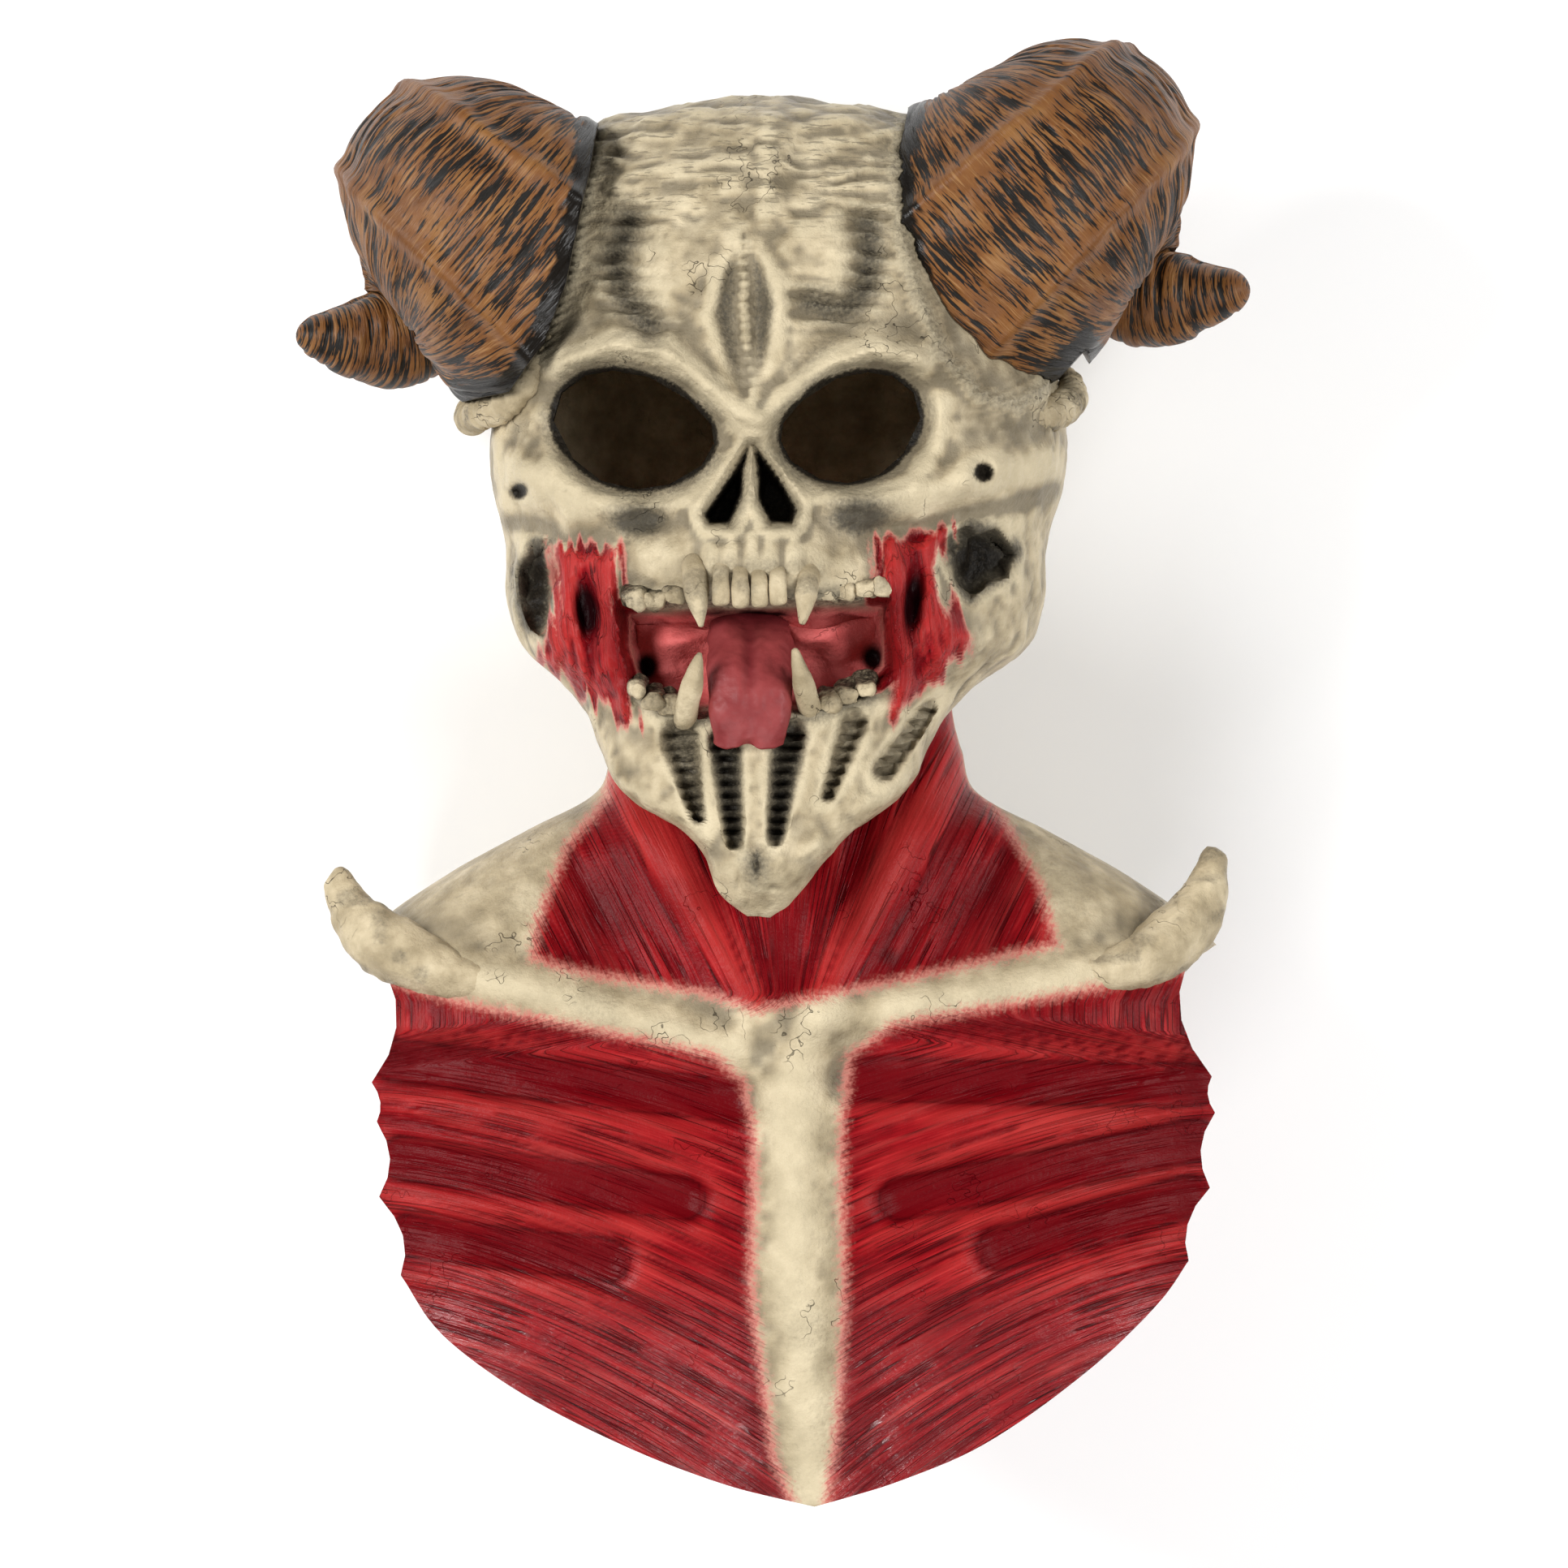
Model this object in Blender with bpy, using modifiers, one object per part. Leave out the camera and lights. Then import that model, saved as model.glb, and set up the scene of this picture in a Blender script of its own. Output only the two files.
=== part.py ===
"""Devil skull full mask in painted latex, lying on its back with the face up.

Metres, +Z up. The crown points to +Y and the face to +Z. The origin is in the middle of the flat spot at the
back of the skull, on the floor.
"""
import math

import bmesh
import bpy
import numpy as np
from mathutils import Matrix

# Driving dimensions
SKULL_HEIGHT = 0.296      # crown to chin
WALL = 0.0035             # thickness of the latex
WALL_MARGIN = 0.0015      # extra wall that the facets of the two faces need between them
HORN_GAP = 0.0006         # between a horn's root and the skull

# The carving is laid out on a skull 296 units high, and UNIT turns a layout unit into metres
LAYOUT_HEIGHT = 296.0
UNIT = SKULL_HEIGHT / LAYOUT_HEIGHT
WALL_UNITS = WALL / UNIT
INSET = (WALL + WALL_MARGIN) / UNIT

# Facets of each skin
HEAD_FACETS = 2250
HEAD_INSIDE_FACETS = 800
CHEST_FACETS = 1150
CHEST_INSIDE_FACETS = 520

# How square the sections are, 1 being round, and how much rounder the inside is
HEAD_CORNER = 0.8
CHEST_CORNER = 0.62
INSIDE_ROUNDER = 0.14

# Skull sections from the chin up: height, half width, front, back, middle
HEAD_PROFILE = [
    (-160, 4, 214, 207, -3), (-156, 10, 218, 203, -3), (-148, 17, 223, 197, -2), (-138, 23, 225, 188, 0),
    (-130, 30, 224, 176, 0), (-120, 46, 222, 162, -1), (-113, 53, 220, 152, -1), (-100, 59, 217, 130, -1),
    (-88, 65, 214, 100, 0), (-76, 76, 212, 62, 1), (-65, 90, 212, 36, 3), (-50, 97, 212, 10, 3),
    (-25, 99, 207, -2, 3), (0, 105, 205, -4, 4), (30, 103, 207, -4, 4), (60, 95, 203, -3, 2),
    (90, 88, 193, 10, 1), (115, 74, 176, 30, 0), (130, 52, 155, 60, 0), (138, 12, 120, 95, -1),
]

# Neck and chest sections from the bottom up: height, half width, front, back, middle
CHEST_PROFILE = [
    (-410, 170, 182, -3, 7), (-372, 172, 184, -3, 7), (-300, 174, 188, -3, 7), (-230, 174, 180, -3, 7),
    (-190, 168, 172, -3, 7), (-172, 158, 168, -1, 7), (-158, 142, 165, 2, 7), (-145, 122, 162, 8, 7),
    (-130, 95, 158, 14, 7), (-118, 72, 154, 18, 7), (-100, 64, 152, 22, 7), (-30, 64, 150, 30, 5),
]

# Eye hole: its outline in shares of its half width and half height, inner corner at the positive end
EYE_OUTLINE = [
    (-1.0, 0.18), (-0.9, 0.64), (-0.6, 0.93), (-0.25, 1.0), (0.2, 0.88), (0.7, 0.47), (0.97, 0.07),
    (1.0, -0.24), (0.85, -0.61), (0.45, -0.92), (0.05, -1.0), (-0.4, -0.85), (-0.75, -0.47),
]
# Middle across and up, half width, half height, side on which the outer corner lies
EYES = [(-48, 14, 29, 21.5, -1), (30, 14.5, 25, 20, 1)]
EYE_DENT = 13.0
EYE_DENT_SPREAD = 1.17

# Raised lines on the face: brow crests, lower rims of the eyes, cheekbones, and the outer edges of the jaw
BROWS = [
    [(-73, 38), (-55, 43.5), (-37, 41.5), (-24, 31), (-11, 18)],
    [(54, 39), (38, 41.5), (22.5, 35), (9, 24), (-1, 16)],
]
EYE_RIMS = [
    [(-80, 20), (-76, 2), (-62, -9), (-44, -13), (-28, -10), (-18, 2)],
    [(4, 2), (16, -9), (36, -11), (52, -5), (60, 8), (61, 24)],
]
CHEEK_BONES = [
    [(-99, 4), (-84, -3), (-70, -13), (-52, -17)],
    [(104, 2), (84, 0), (68, -6), (52, -13), (30, -15)],
]
JAW_EDGES = [
    [(-95, -62), (-66, -90), (-56, -112), (-22, -132)],
    [(97, -65), (78, -79), (60, -99), (49, -112), (18, -136)],
]
GUM = [(-48, -86), (-5, -92), (40, -84)]

# The lens-shaped groove over the nose with its inner ridge, and the dent on each temple
FOREHEAD_LENS = [(-8.5, 84), (-16, 70), (-19.5, 55), (-15, 38), (-6.5, 24), (0.5, 40), (3.5, 58), (-1, 72)]
LENS_RIDGE = [(-8.5, 80), (-8, 50), (-5.5, 26)]
TEMPLE_DENTS = [
    [(-49, 89), (-54, 75), (-51, 61), (-42, 51)],
    [(36, 88), (37, 75), (35, 64), (28, 56), (16, 59)],
]

# Hollows under the cheekbones and dents beside the nose: middle across and up, half width, half height
CHEEK_HOLLOWS = [(-85, -37, 7.5, 12), (75, -33.5, 12, 10.5)]
CHEEK_DENTS = [(-46, -19, 13, 7), (33, -18, 14, 8.5)]

# Outlines of the two nose holes, the open mouth and the two bared cheek muscles
NOSE_HOLES = [
    [(-6.5, 8), (-14, -3), (-23, -17), (-21, -20.5), (-13, -21), (-8.5, -12)],
    [(-4.5, 8), (4, -2), (11.5, -15), (9.5, -20.5), (1, -20.5), (-3.5, -12)],
]
NOSE_DEPTH = 17
MOUTH = [
    (-51, -51), (-27, -50), (16, -49), (43, -48), (43.5, -72), (35, -80), (14, -86), (-28, -87), (-46, -79),
    (-51, -64),
]
MOUTH_DEPTH = 25
CHEEK_MUSCLES = [
    [(-77, -27), (-66, -28), (-54, -29), (-53, -46), (-51, -65), (-51, -75), (-47, -92), (-58, -86),
     (-81, -69), (-76, -50)],
    [(40, -26), (52, -24), (65, -21), (60, -36), (63, -46), (72, -60), (70, -66), (58, -78), (45, -90),
     (44, -75), (39, -46)],
]
# A dark oval gap in each cheek muscle: middle across and up, half width, half height, turn
CHEEK_GAPS = [(-64.5, -51, 5, 11, 0.1), (52, -48, 3.6, 13, -0.12)]
# Slots in the jaw: top, bottom, half width at the top and at the bottom
JAW_SLOTS = [
    ((-31, -97), (-24.5, -125), 6, 2.2), ((-15, -98), (-11.5, -133), 5, 2.6),
    ((8, -96), (3, -132), 5.5, 2.6), ((31, -92), (22, -117), 4.6, 2.2), ((58, -86), (42, -108), 2.6, 4),
]

# Chest bib: the tips of the scalloped sides from the top down, then the lower edge to the point
BIB_LEFT_TIPS = [(-138, -181), (-143, -221), (-141, -235), (-140, -262), (-132, -290)]
BIB_RIGHT_TIPS = [(152, -178), (161, -219), (162, -232), (160, -259), (152, -285)]
BIB_LEFT_EDGE = [(-117, -311), (-88, -332), (-48, -352), (-13, -365)]
BIB_RIGHT_EDGE = [(140, -301), (114, -325), (78, -350), (45, -364)]
BIB_POINT = (17, -372)
SCALLOP_SHARE = 0.16      # depth of a scallop as a share of the distance between its tips
FLAP_HALF_WIDTH = 120
FLAP_BOTTOM = -240
SHOULDER_TOP = -172       # below this the front and the back of the chest part
SHOULDER_SLANT = 16       # how much higher the edge runs at the outer side of the shoulder
SIDE_SEAM = 94.3          # height over the floor at which they part
ARM_MIDDLE_UP = -209
ARM_MIDDLE_OVER = 68
ARM_REACH_UP = 56
ARM_REACH_OVER = 52

# A bone spike on each shoulder, from its root on the collar bone to its tip: across, up, height, radius
LEFT_SPIKE = [
    (-100, -185, 158, 6), (-120, -180, 151, 10), (-138, -171, 141, 12), (-150, -160, 134, 9),
    (-157, -144, 129, 4),
]
RIGHT_SPIKE = [
    (114, -183, 158, 6), (134, -178, 151, 10), (148, -168, 141, 12), (158, -155, 134, 9), (163, -136, 129, 4),
]

# Left horn: across, up, height over the floor, radius
HORN_PATH = [
    (-55, 54, 112, 58), (-80, 75, 140, 56), (-102, 93, 146, 48), (-115, 104, 122, 41), (-121, 105, 94, 34),
    (-123, 88, 70, 27), (-126, 67, 60, 22.5), (-134, 53, 62, 19.5), (-151, 50, 70, 15), (-173, 52, 78, 5.5),
]
RIGHT_HORN_OUT = 4
RIGHT_HORN_LIFT = 9
RIGHT_HORN_TURN = math.radians(4)
HORN_SIDE_COUNT = 60
HORN_ROW_COUNT = 50
HORN_EDGE_COUNT = 6
HORN_EDGE_SHARE = 0.05    # how far the long edges stand out of a round section
HORN_GRAIN = 2.5          # size of the cells in which the folds at the inside of the curl are merged
HORN_FACETS = 840

# The raised lip on the skull along which each horn's root ends on the face, from the crown down
LEFT_LIP = [(-61, 126), (-64, 105), (-72, 66), (-80, 45), (-93, 28), (-112, 25)]
RIGHT_LIP = [(51, 131), (46, 108), (48, 85), (55, 59), (65, 39), (76, 27), (90, 23), (106, 34), (115, 44)]
# The collar under each root goes on round the side of the skull: across, up, height, radius
LEFT_COLLAR = [
    (-76, 48, 172, 2.5), (-90, 27, 158, 5), (-104, 21, 136, 6), (-108, 22, 106, 5.5), (-102, 36, 80, 2.5),
]
RIGHT_COLLAR = [
    (62, 38, 180, 2.5), (78, 22, 168, 5), (96, 19, 152, 6), (110, 26, 128, 6), (110, 38, 98, 2.5),
]


def curve_through(knots, at):
    """Values at heights `at` on the smooth line through (height, value) knots."""
    heights, values = np.array(knots, dtype=float).T
    slope = np.gradient(values, heights)
    at = np.clip(at, heights[0], heights[-1])
    low = np.clip(np.searchsorted(heights, at) - 1, 0, len(heights) - 2)
    step = heights[low + 1] - heights[low]
    t = (at - heights[low]) / step
    start = (1 + 2 * t) * (1 - t) ** 2 * values[low] + t * (1 - t) ** 2 * step * slope[low]
    end = t * t * (3 - 2 * t) * values[low + 1] + t * t * (t - 1) * step * slope[low + 1]
    return start + end


def column(profile, number):
    return [(row[0], row[number]) for row in profile]


def bump(x, y, across, up, half_width, half_height, turn=0.0):
    """Round-topped hill, 1 at its middle."""
    u = (x - across) * math.cos(turn) + (y - up) * math.sin(turn)
    v = (y - up) * math.cos(turn) - (x - across) * math.sin(turn)
    return np.exp(-(u / half_width) ** 2 - (v / half_height) ** 2)


def smooth(value, low, high):
    """A soft step, 0 up to low and 1 from high on."""
    t = np.clip((value - low) / (high - low), 0, 1)
    return t * t * (3 - 2 * t)


def to_line(x, y, points, closed=False):
    """Distance to a line of points."""
    away = np.full_like(x, np.inf)
    ends = points[1:] + points[:1] if closed else points[1:]
    for (x0, y0), (x1, y1) in zip(points, ends):
        length = (x1 - x0) ** 2 + (y1 - y0) ** 2
        t = np.clip(((x - x0) * (x1 - x0) + (y - y0) * (y1 - y0)) / length, 0, 1)
        away = np.minimum(away, np.hypot(x - x0 - t * (x1 - x0), y - y0 - t * (y1 - y0)))
    return away


def band(x, y, points, half_width):
    """Round-topped band along a line of points."""
    return np.exp(-(to_line(x, y, points) / half_width) ** 2)


def depth_inside(x, y, outline):
    """Distance inside a closed outline, negative outside it."""
    inside = np.zeros(x.shape, dtype=bool)
    for (x0, y0), (x1, y1) in zip(outline, outline[1:] + outline[:1]):
        if y0 != y1:
            inside ^= ((y0 > y) != (y1 > y)) & (x < (x1 - x0) * (y - y0) / (y1 - y0) + x0)
    return np.where(inside, 1, -1) * to_line(x, y, outline, closed=True)


def eye_share(x, y, eye):
    """Distance from the middle of an eye hole as a share of the hole's own reach that way."""
    across, up, half_width, half_height, side = eye
    u = -side * (x - across) / half_width
    v = (y - up) / half_height
    corners = sorted((math.atan2(b, a), math.hypot(a, b)) for a, b in EYE_OUTLINE)
    angles = [angle for angle, reach in corners]
    reaches = [reach for angle, reach in corners]
    return np.hypot(u, v) / np.interp(np.arctan2(v, u), angles, reaches, period=2 * math.pi)


def slot_share(x, y, slot):
    """1 down the middle of a slot that narrows towards the chin, 0 outside it."""
    (x0, y0), (x1, y1), top, bottom = slot
    t = ((x - x0) * (x1 - x0) + (y - y0) * (y1 - y0)) / ((x1 - x0) ** 2 + (y1 - y0) ** 2)
    t = np.clip(t, 0, 1)
    away = np.hypot(x - x0 - t * (x1 - x0), y - y0 - t * (y1 - y0))
    return np.exp(-(away / (top + t * (bottom - top))) ** 4)


def face_relief(x, y):
    """Height of the carving on the front of the skull."""
    z = 11 * bump(x, y, -5, -34, 40, 17)
    raised = [
        (BROWS, 10, 7), (EYE_RIMS, 4, 4.5), (CHEEK_BONES, 8, 8), ([LEFT_LIP, RIGHT_LIP], 4, 4),
        (JAW_EDGES, 3, 4.5), ([GUM], 4, 7), ([LENS_RIDGE], 3.5, 2.6),
    ]
    for lines, height, half_width in raised:
        for line in lines:
            z += height * band(x, y, line, half_width)
    z += 5 * bump(x, y, -4, -147, 12, 12)
    z += 2.2 * band(x, y, [(-1, 90), (1, 137)], 4)
    z -= 5 * smooth(depth_inside(x, y, FOREHEAD_LENS), -1, 7)
    for dent in TEMPLE_DENTS:
        z -= 5 * band(x, y, dent, 7)
    for eye in EYES:
        z -= EYE_DENT / (1 + (eye_share(x, y, eye) / EYE_DENT_SPREAD) ** 12)
    for hole in NOSE_HOLES:
        z -= NOSE_DEPTH * smooth(depth_inside(x, y, hole), -1.2, 3)
    for hollow in CHEEK_HOLLOWS:
        z -= 17 * bump(x, y, *hollow)
    for dent in CHEEK_DENTS:
        z -= 5 * bump(x, y, *dent)
    z -= MOUTH_DEPTH * smooth(depth_inside(x, y, MOUTH), -2.5, 4)
    for muscle, gap in zip(CHEEK_MUSCLES, CHEEK_GAPS):
        z += 6 * smooth(depth_inside(x, y, muscle), -3, 6) - 9 * bump(x, y, *gap)
    for slot in JAW_SLOTS:
        z -= 6 * slot_share(x, y, slot)
    return z


def chest_relief(x, y):
    """Height of the carving on the front of the neck and chest."""
    z = 6 * band(x, y, [(-142, -174), (-90, -186), (-13, -207)], 9)
    z += 6 * band(x, y, [(19, -198), (90, -186), (152, -175)], 9)
    z += 5 * band(x, y, [(9, -205), (10, -290), (17, -368)], 13)
    z += 6 * band(x, y, [(-58, -106), (-4, -192)], 10)
    z += 6 * band(x, y, [(74, -92), (19, -190)], 10)
    grooves = [
        [(-135, -213), (-12, -227)], [(-132, -248), (-30, -262)], [(-129, -276), (-57, -284)],
        [(29, -219), (155, -222)], [(48, -262), (155, -242)], [(83, -280), (152, -262)],
    ]
    for groove in grooves:
        z -= 5 * band(x, y, groove, 7)
    z -= 6 * bump(x, y, -62, -160, 16, 20)
    z -= 6 * bump(x, y, 80, -155, 16, 20)
    return z


def lowered(relief, reach=4.5):
    """The same relief worn down to its lowest value close by, for the inside of the skin."""
    def worn(x, y):
        offsets = [(0, 0), (reach, 0), (-reach, 0), (0, reach), (0, -reach)]
        return np.minimum.reduce([relief(x + a, y + b) for a, b in offsets] + [np.zeros_like(x)])
    return worn


def new_object(name, bm, collection):
    bm.normal_update()
    if bm.calc_volume(signed=True) < 0:
        bmesh.ops.reverse_faces(bm, faces=bm.faces)
    mesh = bpy.data.meshes.new(name)
    bm.to_mesh(mesh)
    bm.free()
    obj = bpy.data.objects.new(name, mesh)
    collection.objects.link(obj)
    if collection is CUTTERS or collection is ADDED:
        obj.hide_render = True
        obj.display_type = "WIRE"
    return obj


def closed_skin(name, rows, around, place, collection):
    """A sphere reshaped by place(share along, angle round), where along runs from 0 to 1."""
    bm = bmesh.new()
    bmesh.ops.create_uvsphere(bm, u_segments=around, v_segments=rows, radius=1.0)
    unit = np.array([vert.co for vert in bm.verts])
    along = 1 - np.arccos(np.clip(unit[:, 2], -1, 1)) / math.pi
    angle = np.arctan2(unit[:, 0], -unit[:, 1])
    points = place(along, angle) * UNIT
    for vert, point in zip(bm.verts, points):
        vert.co = point
    return new_object(name, bm, collection)


def skin_of_profile(name, profile, relief, inset, rows, around, corner, collection):
    """A closed skin through the sections of a profile, with relief on its front."""
    bottom = profile[0][0] + inset
    top = profile[-1][0] - inset

    def place(along, angle):
        y = bottom + (top - bottom) * along
        half = np.maximum(curve_through(column(profile, 1), y) - inset, 1)
        front = curve_through(column(profile, 2), y) - inset
        back = curve_through(column(profile, 3), y)
        if inset > 0:
            back = np.maximum(back, 0) + WALL_UNITS
        middle = curve_through(column(profile, 4), y)
        centre = (front + back) / 2
        lean_x = np.sign(np.sin(angle)) * np.abs(np.sin(angle)) ** 0.9
        lean_z = np.sign(np.cos(angle)) * np.abs(np.cos(angle)) ** corner
        at_pole = (along < 1e-6) | (along > 1 - 1e-6)
        x = np.where(at_pole, middle, middle + half * lean_x)
        z = np.where(at_pole, centre, centre + (front - back) / 2 * lean_z)
        fade = np.clip(np.cos(angle) / 0.35, 0, 1)
        depth = relief(x, y) * fade * fade * (3 - 2 * fade)
        z = np.where(at_pole, z, np.maximum(z + depth, back))
        return np.column_stack([x, y, z])

    return closed_skin(name, rows, around, place, collection)


def thinned(obj, facets):
    """Fewer facets where the skin is smooth."""
    obj.data.calc_loop_triangles()
    slim = obj.modifiers.new("Thin", "DECIMATE")
    slim.ratio = facets / len(obj.data.loop_triangles)
    return obj


def untwisted_frames(points):
    """Directions ahead, sideways and over at each point of a path, carried along without twist."""
    ahead = np.gradient(points, axis=0)
    ahead /= np.linalg.norm(ahead, axis=1)[:, None]
    side = np.zeros_like(ahead)
    side[0] = np.cross(ahead[0], (0.0, 0.0, 1.0))
    if np.linalg.norm(side[0]) < 0.2:
        side[0] = (1.0, 0.0, 0.0)
    for number in range(len(points)):
        carried = side[max(number - 1, 0)]
        carried = carried - ahead[number] * carried.dot(ahead[number])
        side[number] = carried / np.linalg.norm(carried)
    return side, np.cross(side, ahead)


def tube_along(name, path, rows, around, collection, edges=0, edge_share=0.0, flatness=1.0):
    """A tapering body along (across, up, height, radius) points, with blunt closed ends."""
    steps = np.linspace(0, 1, len(path))
    knots = np.array(path, dtype=float)
    cap = 1 / rows
    shares = np.linspace(0, 1, rows - 1)
    spine = np.column_stack([curve_through(list(zip(steps, knots[:, k])), shares) for k in range(4)])
    side, over = untwisted_frames(spine[:, :3])

    def place(along, angle):
        share = np.clip((along - cap) / (1 - 2 * cap), 0, 1)
        row = np.rint(share * (rows - 2)).astype(int)
        radius = spine[row, 3] * (1 + edge_share * np.cos(edges * angle))
        radius = np.where((along < cap / 2) | (along > 1 - cap / 2), 0, radius)[:, None]
        sideways = side[row] * np.cos(angle)[:, None]
        upwards = over[row] * np.sin(angle)[:, None] * flatness
        return spine[row, :3] + radius * (sideways + upwards)

    return closed_skin(name, rows, around, place, collection)


def prism(name, outline, low, high, collection):
    """A flat outline raised from one height to another."""
    bm = bmesh.new()
    face = bm.faces.new([bm.verts.new((x * UNIT, y * UNIT, low * UNIT)) for x, y in outline])
    raised = bmesh.ops.extrude_face_region(bm, geom=[face])
    for item in raised["geom"]:
        if isinstance(item, bmesh.types.BMVert):
            item.co.z = high * UNIT
    return new_object(name, bm, collection)


def cut(obj, other, operation="DIFFERENCE"):
    boolean = obj.modifiers.new(operation.title(), "BOOLEAN")
    boolean.operation = operation
    boolean.solver = "EXACT"
    if isinstance(other, bpy.types.Collection):
        boolean.operand_type = "COLLECTION"
        boolean.collection = other
    else:
        boolean.object = other


def material(name, colour, roughness):
    surface = bpy.data.materials.new(name)
    surface.use_nodes = True
    shader = surface.node_tree.nodes["Principled BSDF"]
    shader.inputs["Base Color"].default_value = (*colour, 1)
    shader.inputs["Roughness"].default_value = roughness
    shader.inputs["Metallic"].default_value = 0
    return surface


def scalloped(tips):
    """The tips with a hollow between each two, bowed towards the middle of the chest."""
    outline = [tips[0]]
    for (x0, y0), (x1, y1) in zip(tips, tips[1:]):
        inward = -math.copysign(1, x0) * SCALLOP_SHARE * math.hypot(x1 - x0, y1 - y0)
        outline.append(((x0 + x1) / 2 + inward, (y0 + y1) / 2))
        outline.append((x1, y1))
    return outline


def chest_outline():
    """The trimmed outlines of the front and the back, as one body that the chest is kept inside."""
    reach = 240
    left = scalloped(BIB_LEFT_TIPS) + BIB_LEFT_EDGE
    right = scalloped(BIB_RIGHT_TIPS) + BIB_RIGHT_EDGE
    shoulder = SHOULDER_TOP + SHOULDER_SLANT
    front = [(-reach, reach), (-reach, shoulder), (-150, SHOULDER_TOP)] + left + [BIB_POINT]
    front += right[::-1] + [(163, SHOULDER_TOP), (reach, shoulder), (reach, reach)]
    back = [
        (-reach, reach), (-reach, shoulder), (-FLAP_HALF_WIDTH - 22, SHOULDER_TOP),
        (-FLAP_HALF_WIDTH, FLAP_BOTTOM), (FLAP_HALF_WIDTH, FLAP_BOTTOM),
        (FLAP_HALF_WIDTH + 22, SHOULDER_TOP), (reach, shoulder), (reach, reach),
    ]
    keep = prism("chest_outline", front, SIDE_SEAM, 320, CUTTERS)
    cut(keep, prism("flap_outline", back, -20, SIDE_SEAM + 0.2, CUTTERS), "UNION")
    return keep


def arm_opening():
    """A round bar through both shoulders, which gives the side edges their arch."""
    length = 2 * 240 * UNIT
    turn = Matrix.Rotation(math.pi / 2, 4, "Y")
    bm = bmesh.new()
    bmesh.ops.create_cone(bm, cap_ends=True, segments=28, radius1=1, radius2=1, depth=length)
    bmesh.ops.rotate(bm, verts=bm.verts, matrix=turn, cent=(0, 0, 0))
    for vert in bm.verts:
        vert.co.y = (ARM_MIDDLE_UP + vert.co.y * ARM_REACH_UP) * UNIT
        vert.co.z = (ARM_MIDDLE_OVER + vert.co.z * ARM_REACH_OVER) * UNIT
    return new_object("arm_opening", bm, CUTTERS)


def make_teeth():
    """Each tooth is a tapering body from its root in the gum to its tip."""
    upper_front = [(-16.6, -45, 3.7), (-8.4, -45.5, 3.9), (-0.4, -45.5, 3.9), (7.4, -44, 3.5)]
    for number, (x, y, radius) in enumerate(upper_front):
        path = [(x, y + 9, 219, radius), (x, y, 224, radius), (x, y - 4, 223, radius * 0.8)]
        tube_along(f"incisor_{number}", path, 4, 7, ADDED)
    fangs = [
        (-26, -36, -22.9, -57.5), (15, -36, 12, -56), (-29, -88, -23.5, -66.5), (15, -86, 9.6, -64.5),
    ]
    for number, (x, y, tip_x, tip_y) in enumerate(fangs):
        path = [(x, y, 207, 6), ((x + tip_x) / 2, (y + tip_y) / 2, 221, 5), (tip_x, tip_y, 225, 1.6)]
        tube_along(f"fang_{number}", path, 5, 7, ADDED)
    molars = [
        (-48, -47.5), (-35, -47), (25, -44), (36, -44.5), (-48, -78), (-40, -83), (30, -79), (38, -75),
    ]
    for number, (x, y) in enumerate(molars):
        path = [(x, y + 3, 196, 6.5), (x, y, 210, 6.5), (x, y - 1, 216, 4)]
        tube_along(f"molar_{number}", path, 4, 7, ADDED)


def make_tongue():
    """The tongue rises from the floor of the mouth and hangs over the lower teeth."""
    path = [
        (-5, -52, 180, 14), (-6, -66, 203, 15), (-7, -80, 216, 15), (-8, -92, 219, 14.5), (-7.5, -99, 216, 12),
    ]
    tube_along("tongue", path, 9, 14, ADDED, flatness=0.55)


def make_spikes():
    """A curved bone spike on each shoulder."""
    for side, path in (("left", LEFT_SPIKE), ("right", RIGHT_SPIKE)):
        tube_along(f"spike_{side}", path, 9, 11, ADDED)


def make_collars(name, extra, collection):
    """The rolled rim that each horn's root stands in, thicker all round by extra."""
    collars = []
    for side, path in (("left", LEFT_COLLAR), ("right", RIGHT_COLLAR)):
        grown = [(x, y, z, radius + extra) for x, y, z, radius in path]
        collars.append(tube_along(f"{name}_{side}", grown, 9, 9, collection))
    return collars


def cut_eyes(skin):
    for number, (across, up, half_width, half_height, side) in enumerate(EYES):
        outline = [(across - side * u * half_width, up + v * half_height) for u, v in EYE_OUTLINE]
        cut(skin, prism(f"eye_hole_{number}", outline, 120, 300, CUTTERS))


def make_skin():
    head = skin_of_profile("mask_skin", HEAD_PROFILE, face_relief, 0, 110, 130, HEAD_CORNER, PARTS)
    thinned(head, HEAD_FACETS)
    chest = skin_of_profile("chest", CHEST_PROFILE, chest_relief, 0, 90, 110, CHEST_CORNER, CUTTERS)
    head_inside = skin_of_profile(
        "head_inside", HEAD_PROFILE, lowered(face_relief), INSET, 70, 80,
        HEAD_CORNER + INSIDE_ROUNDER, CUTTERS)
    chest_inside = skin_of_profile(
        "chest_inside", [(-440, 166, 182, -3, 7)] + CHEST_PROFILE[1:], lowered(chest_relief), INSET,
        60, 70, CHEST_CORNER + INSIDE_ROUNDER, CUTTERS)
    cut(head, thinned(chest, CHEST_FACETS), "UNION")
    cut(head, thinned(head_inside, HEAD_INSIDE_FACETS))
    cut(head, thinned(chest_inside, CHEST_INSIDE_FACETS))
    cut(head, chest_outline(), "INTERSECT")
    cut(head, arm_opening())
    cut_eyes(head)
    make_teeth()
    make_tongue()
    make_spikes()
    make_collars("collar", 0, ADDED)
    cut(head, ADDED, "UNION")
    side = 300
    floor = [(-side, -2 * side), (side, -2 * side), (side, side), (-side, side)]
    cut(head, prism("floor", floor, -60, 0, CUTTERS))
    head.data.materials.append(material("painted_skin", (0.67, 0.60, 0.41), 0.4))
    return head


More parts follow.
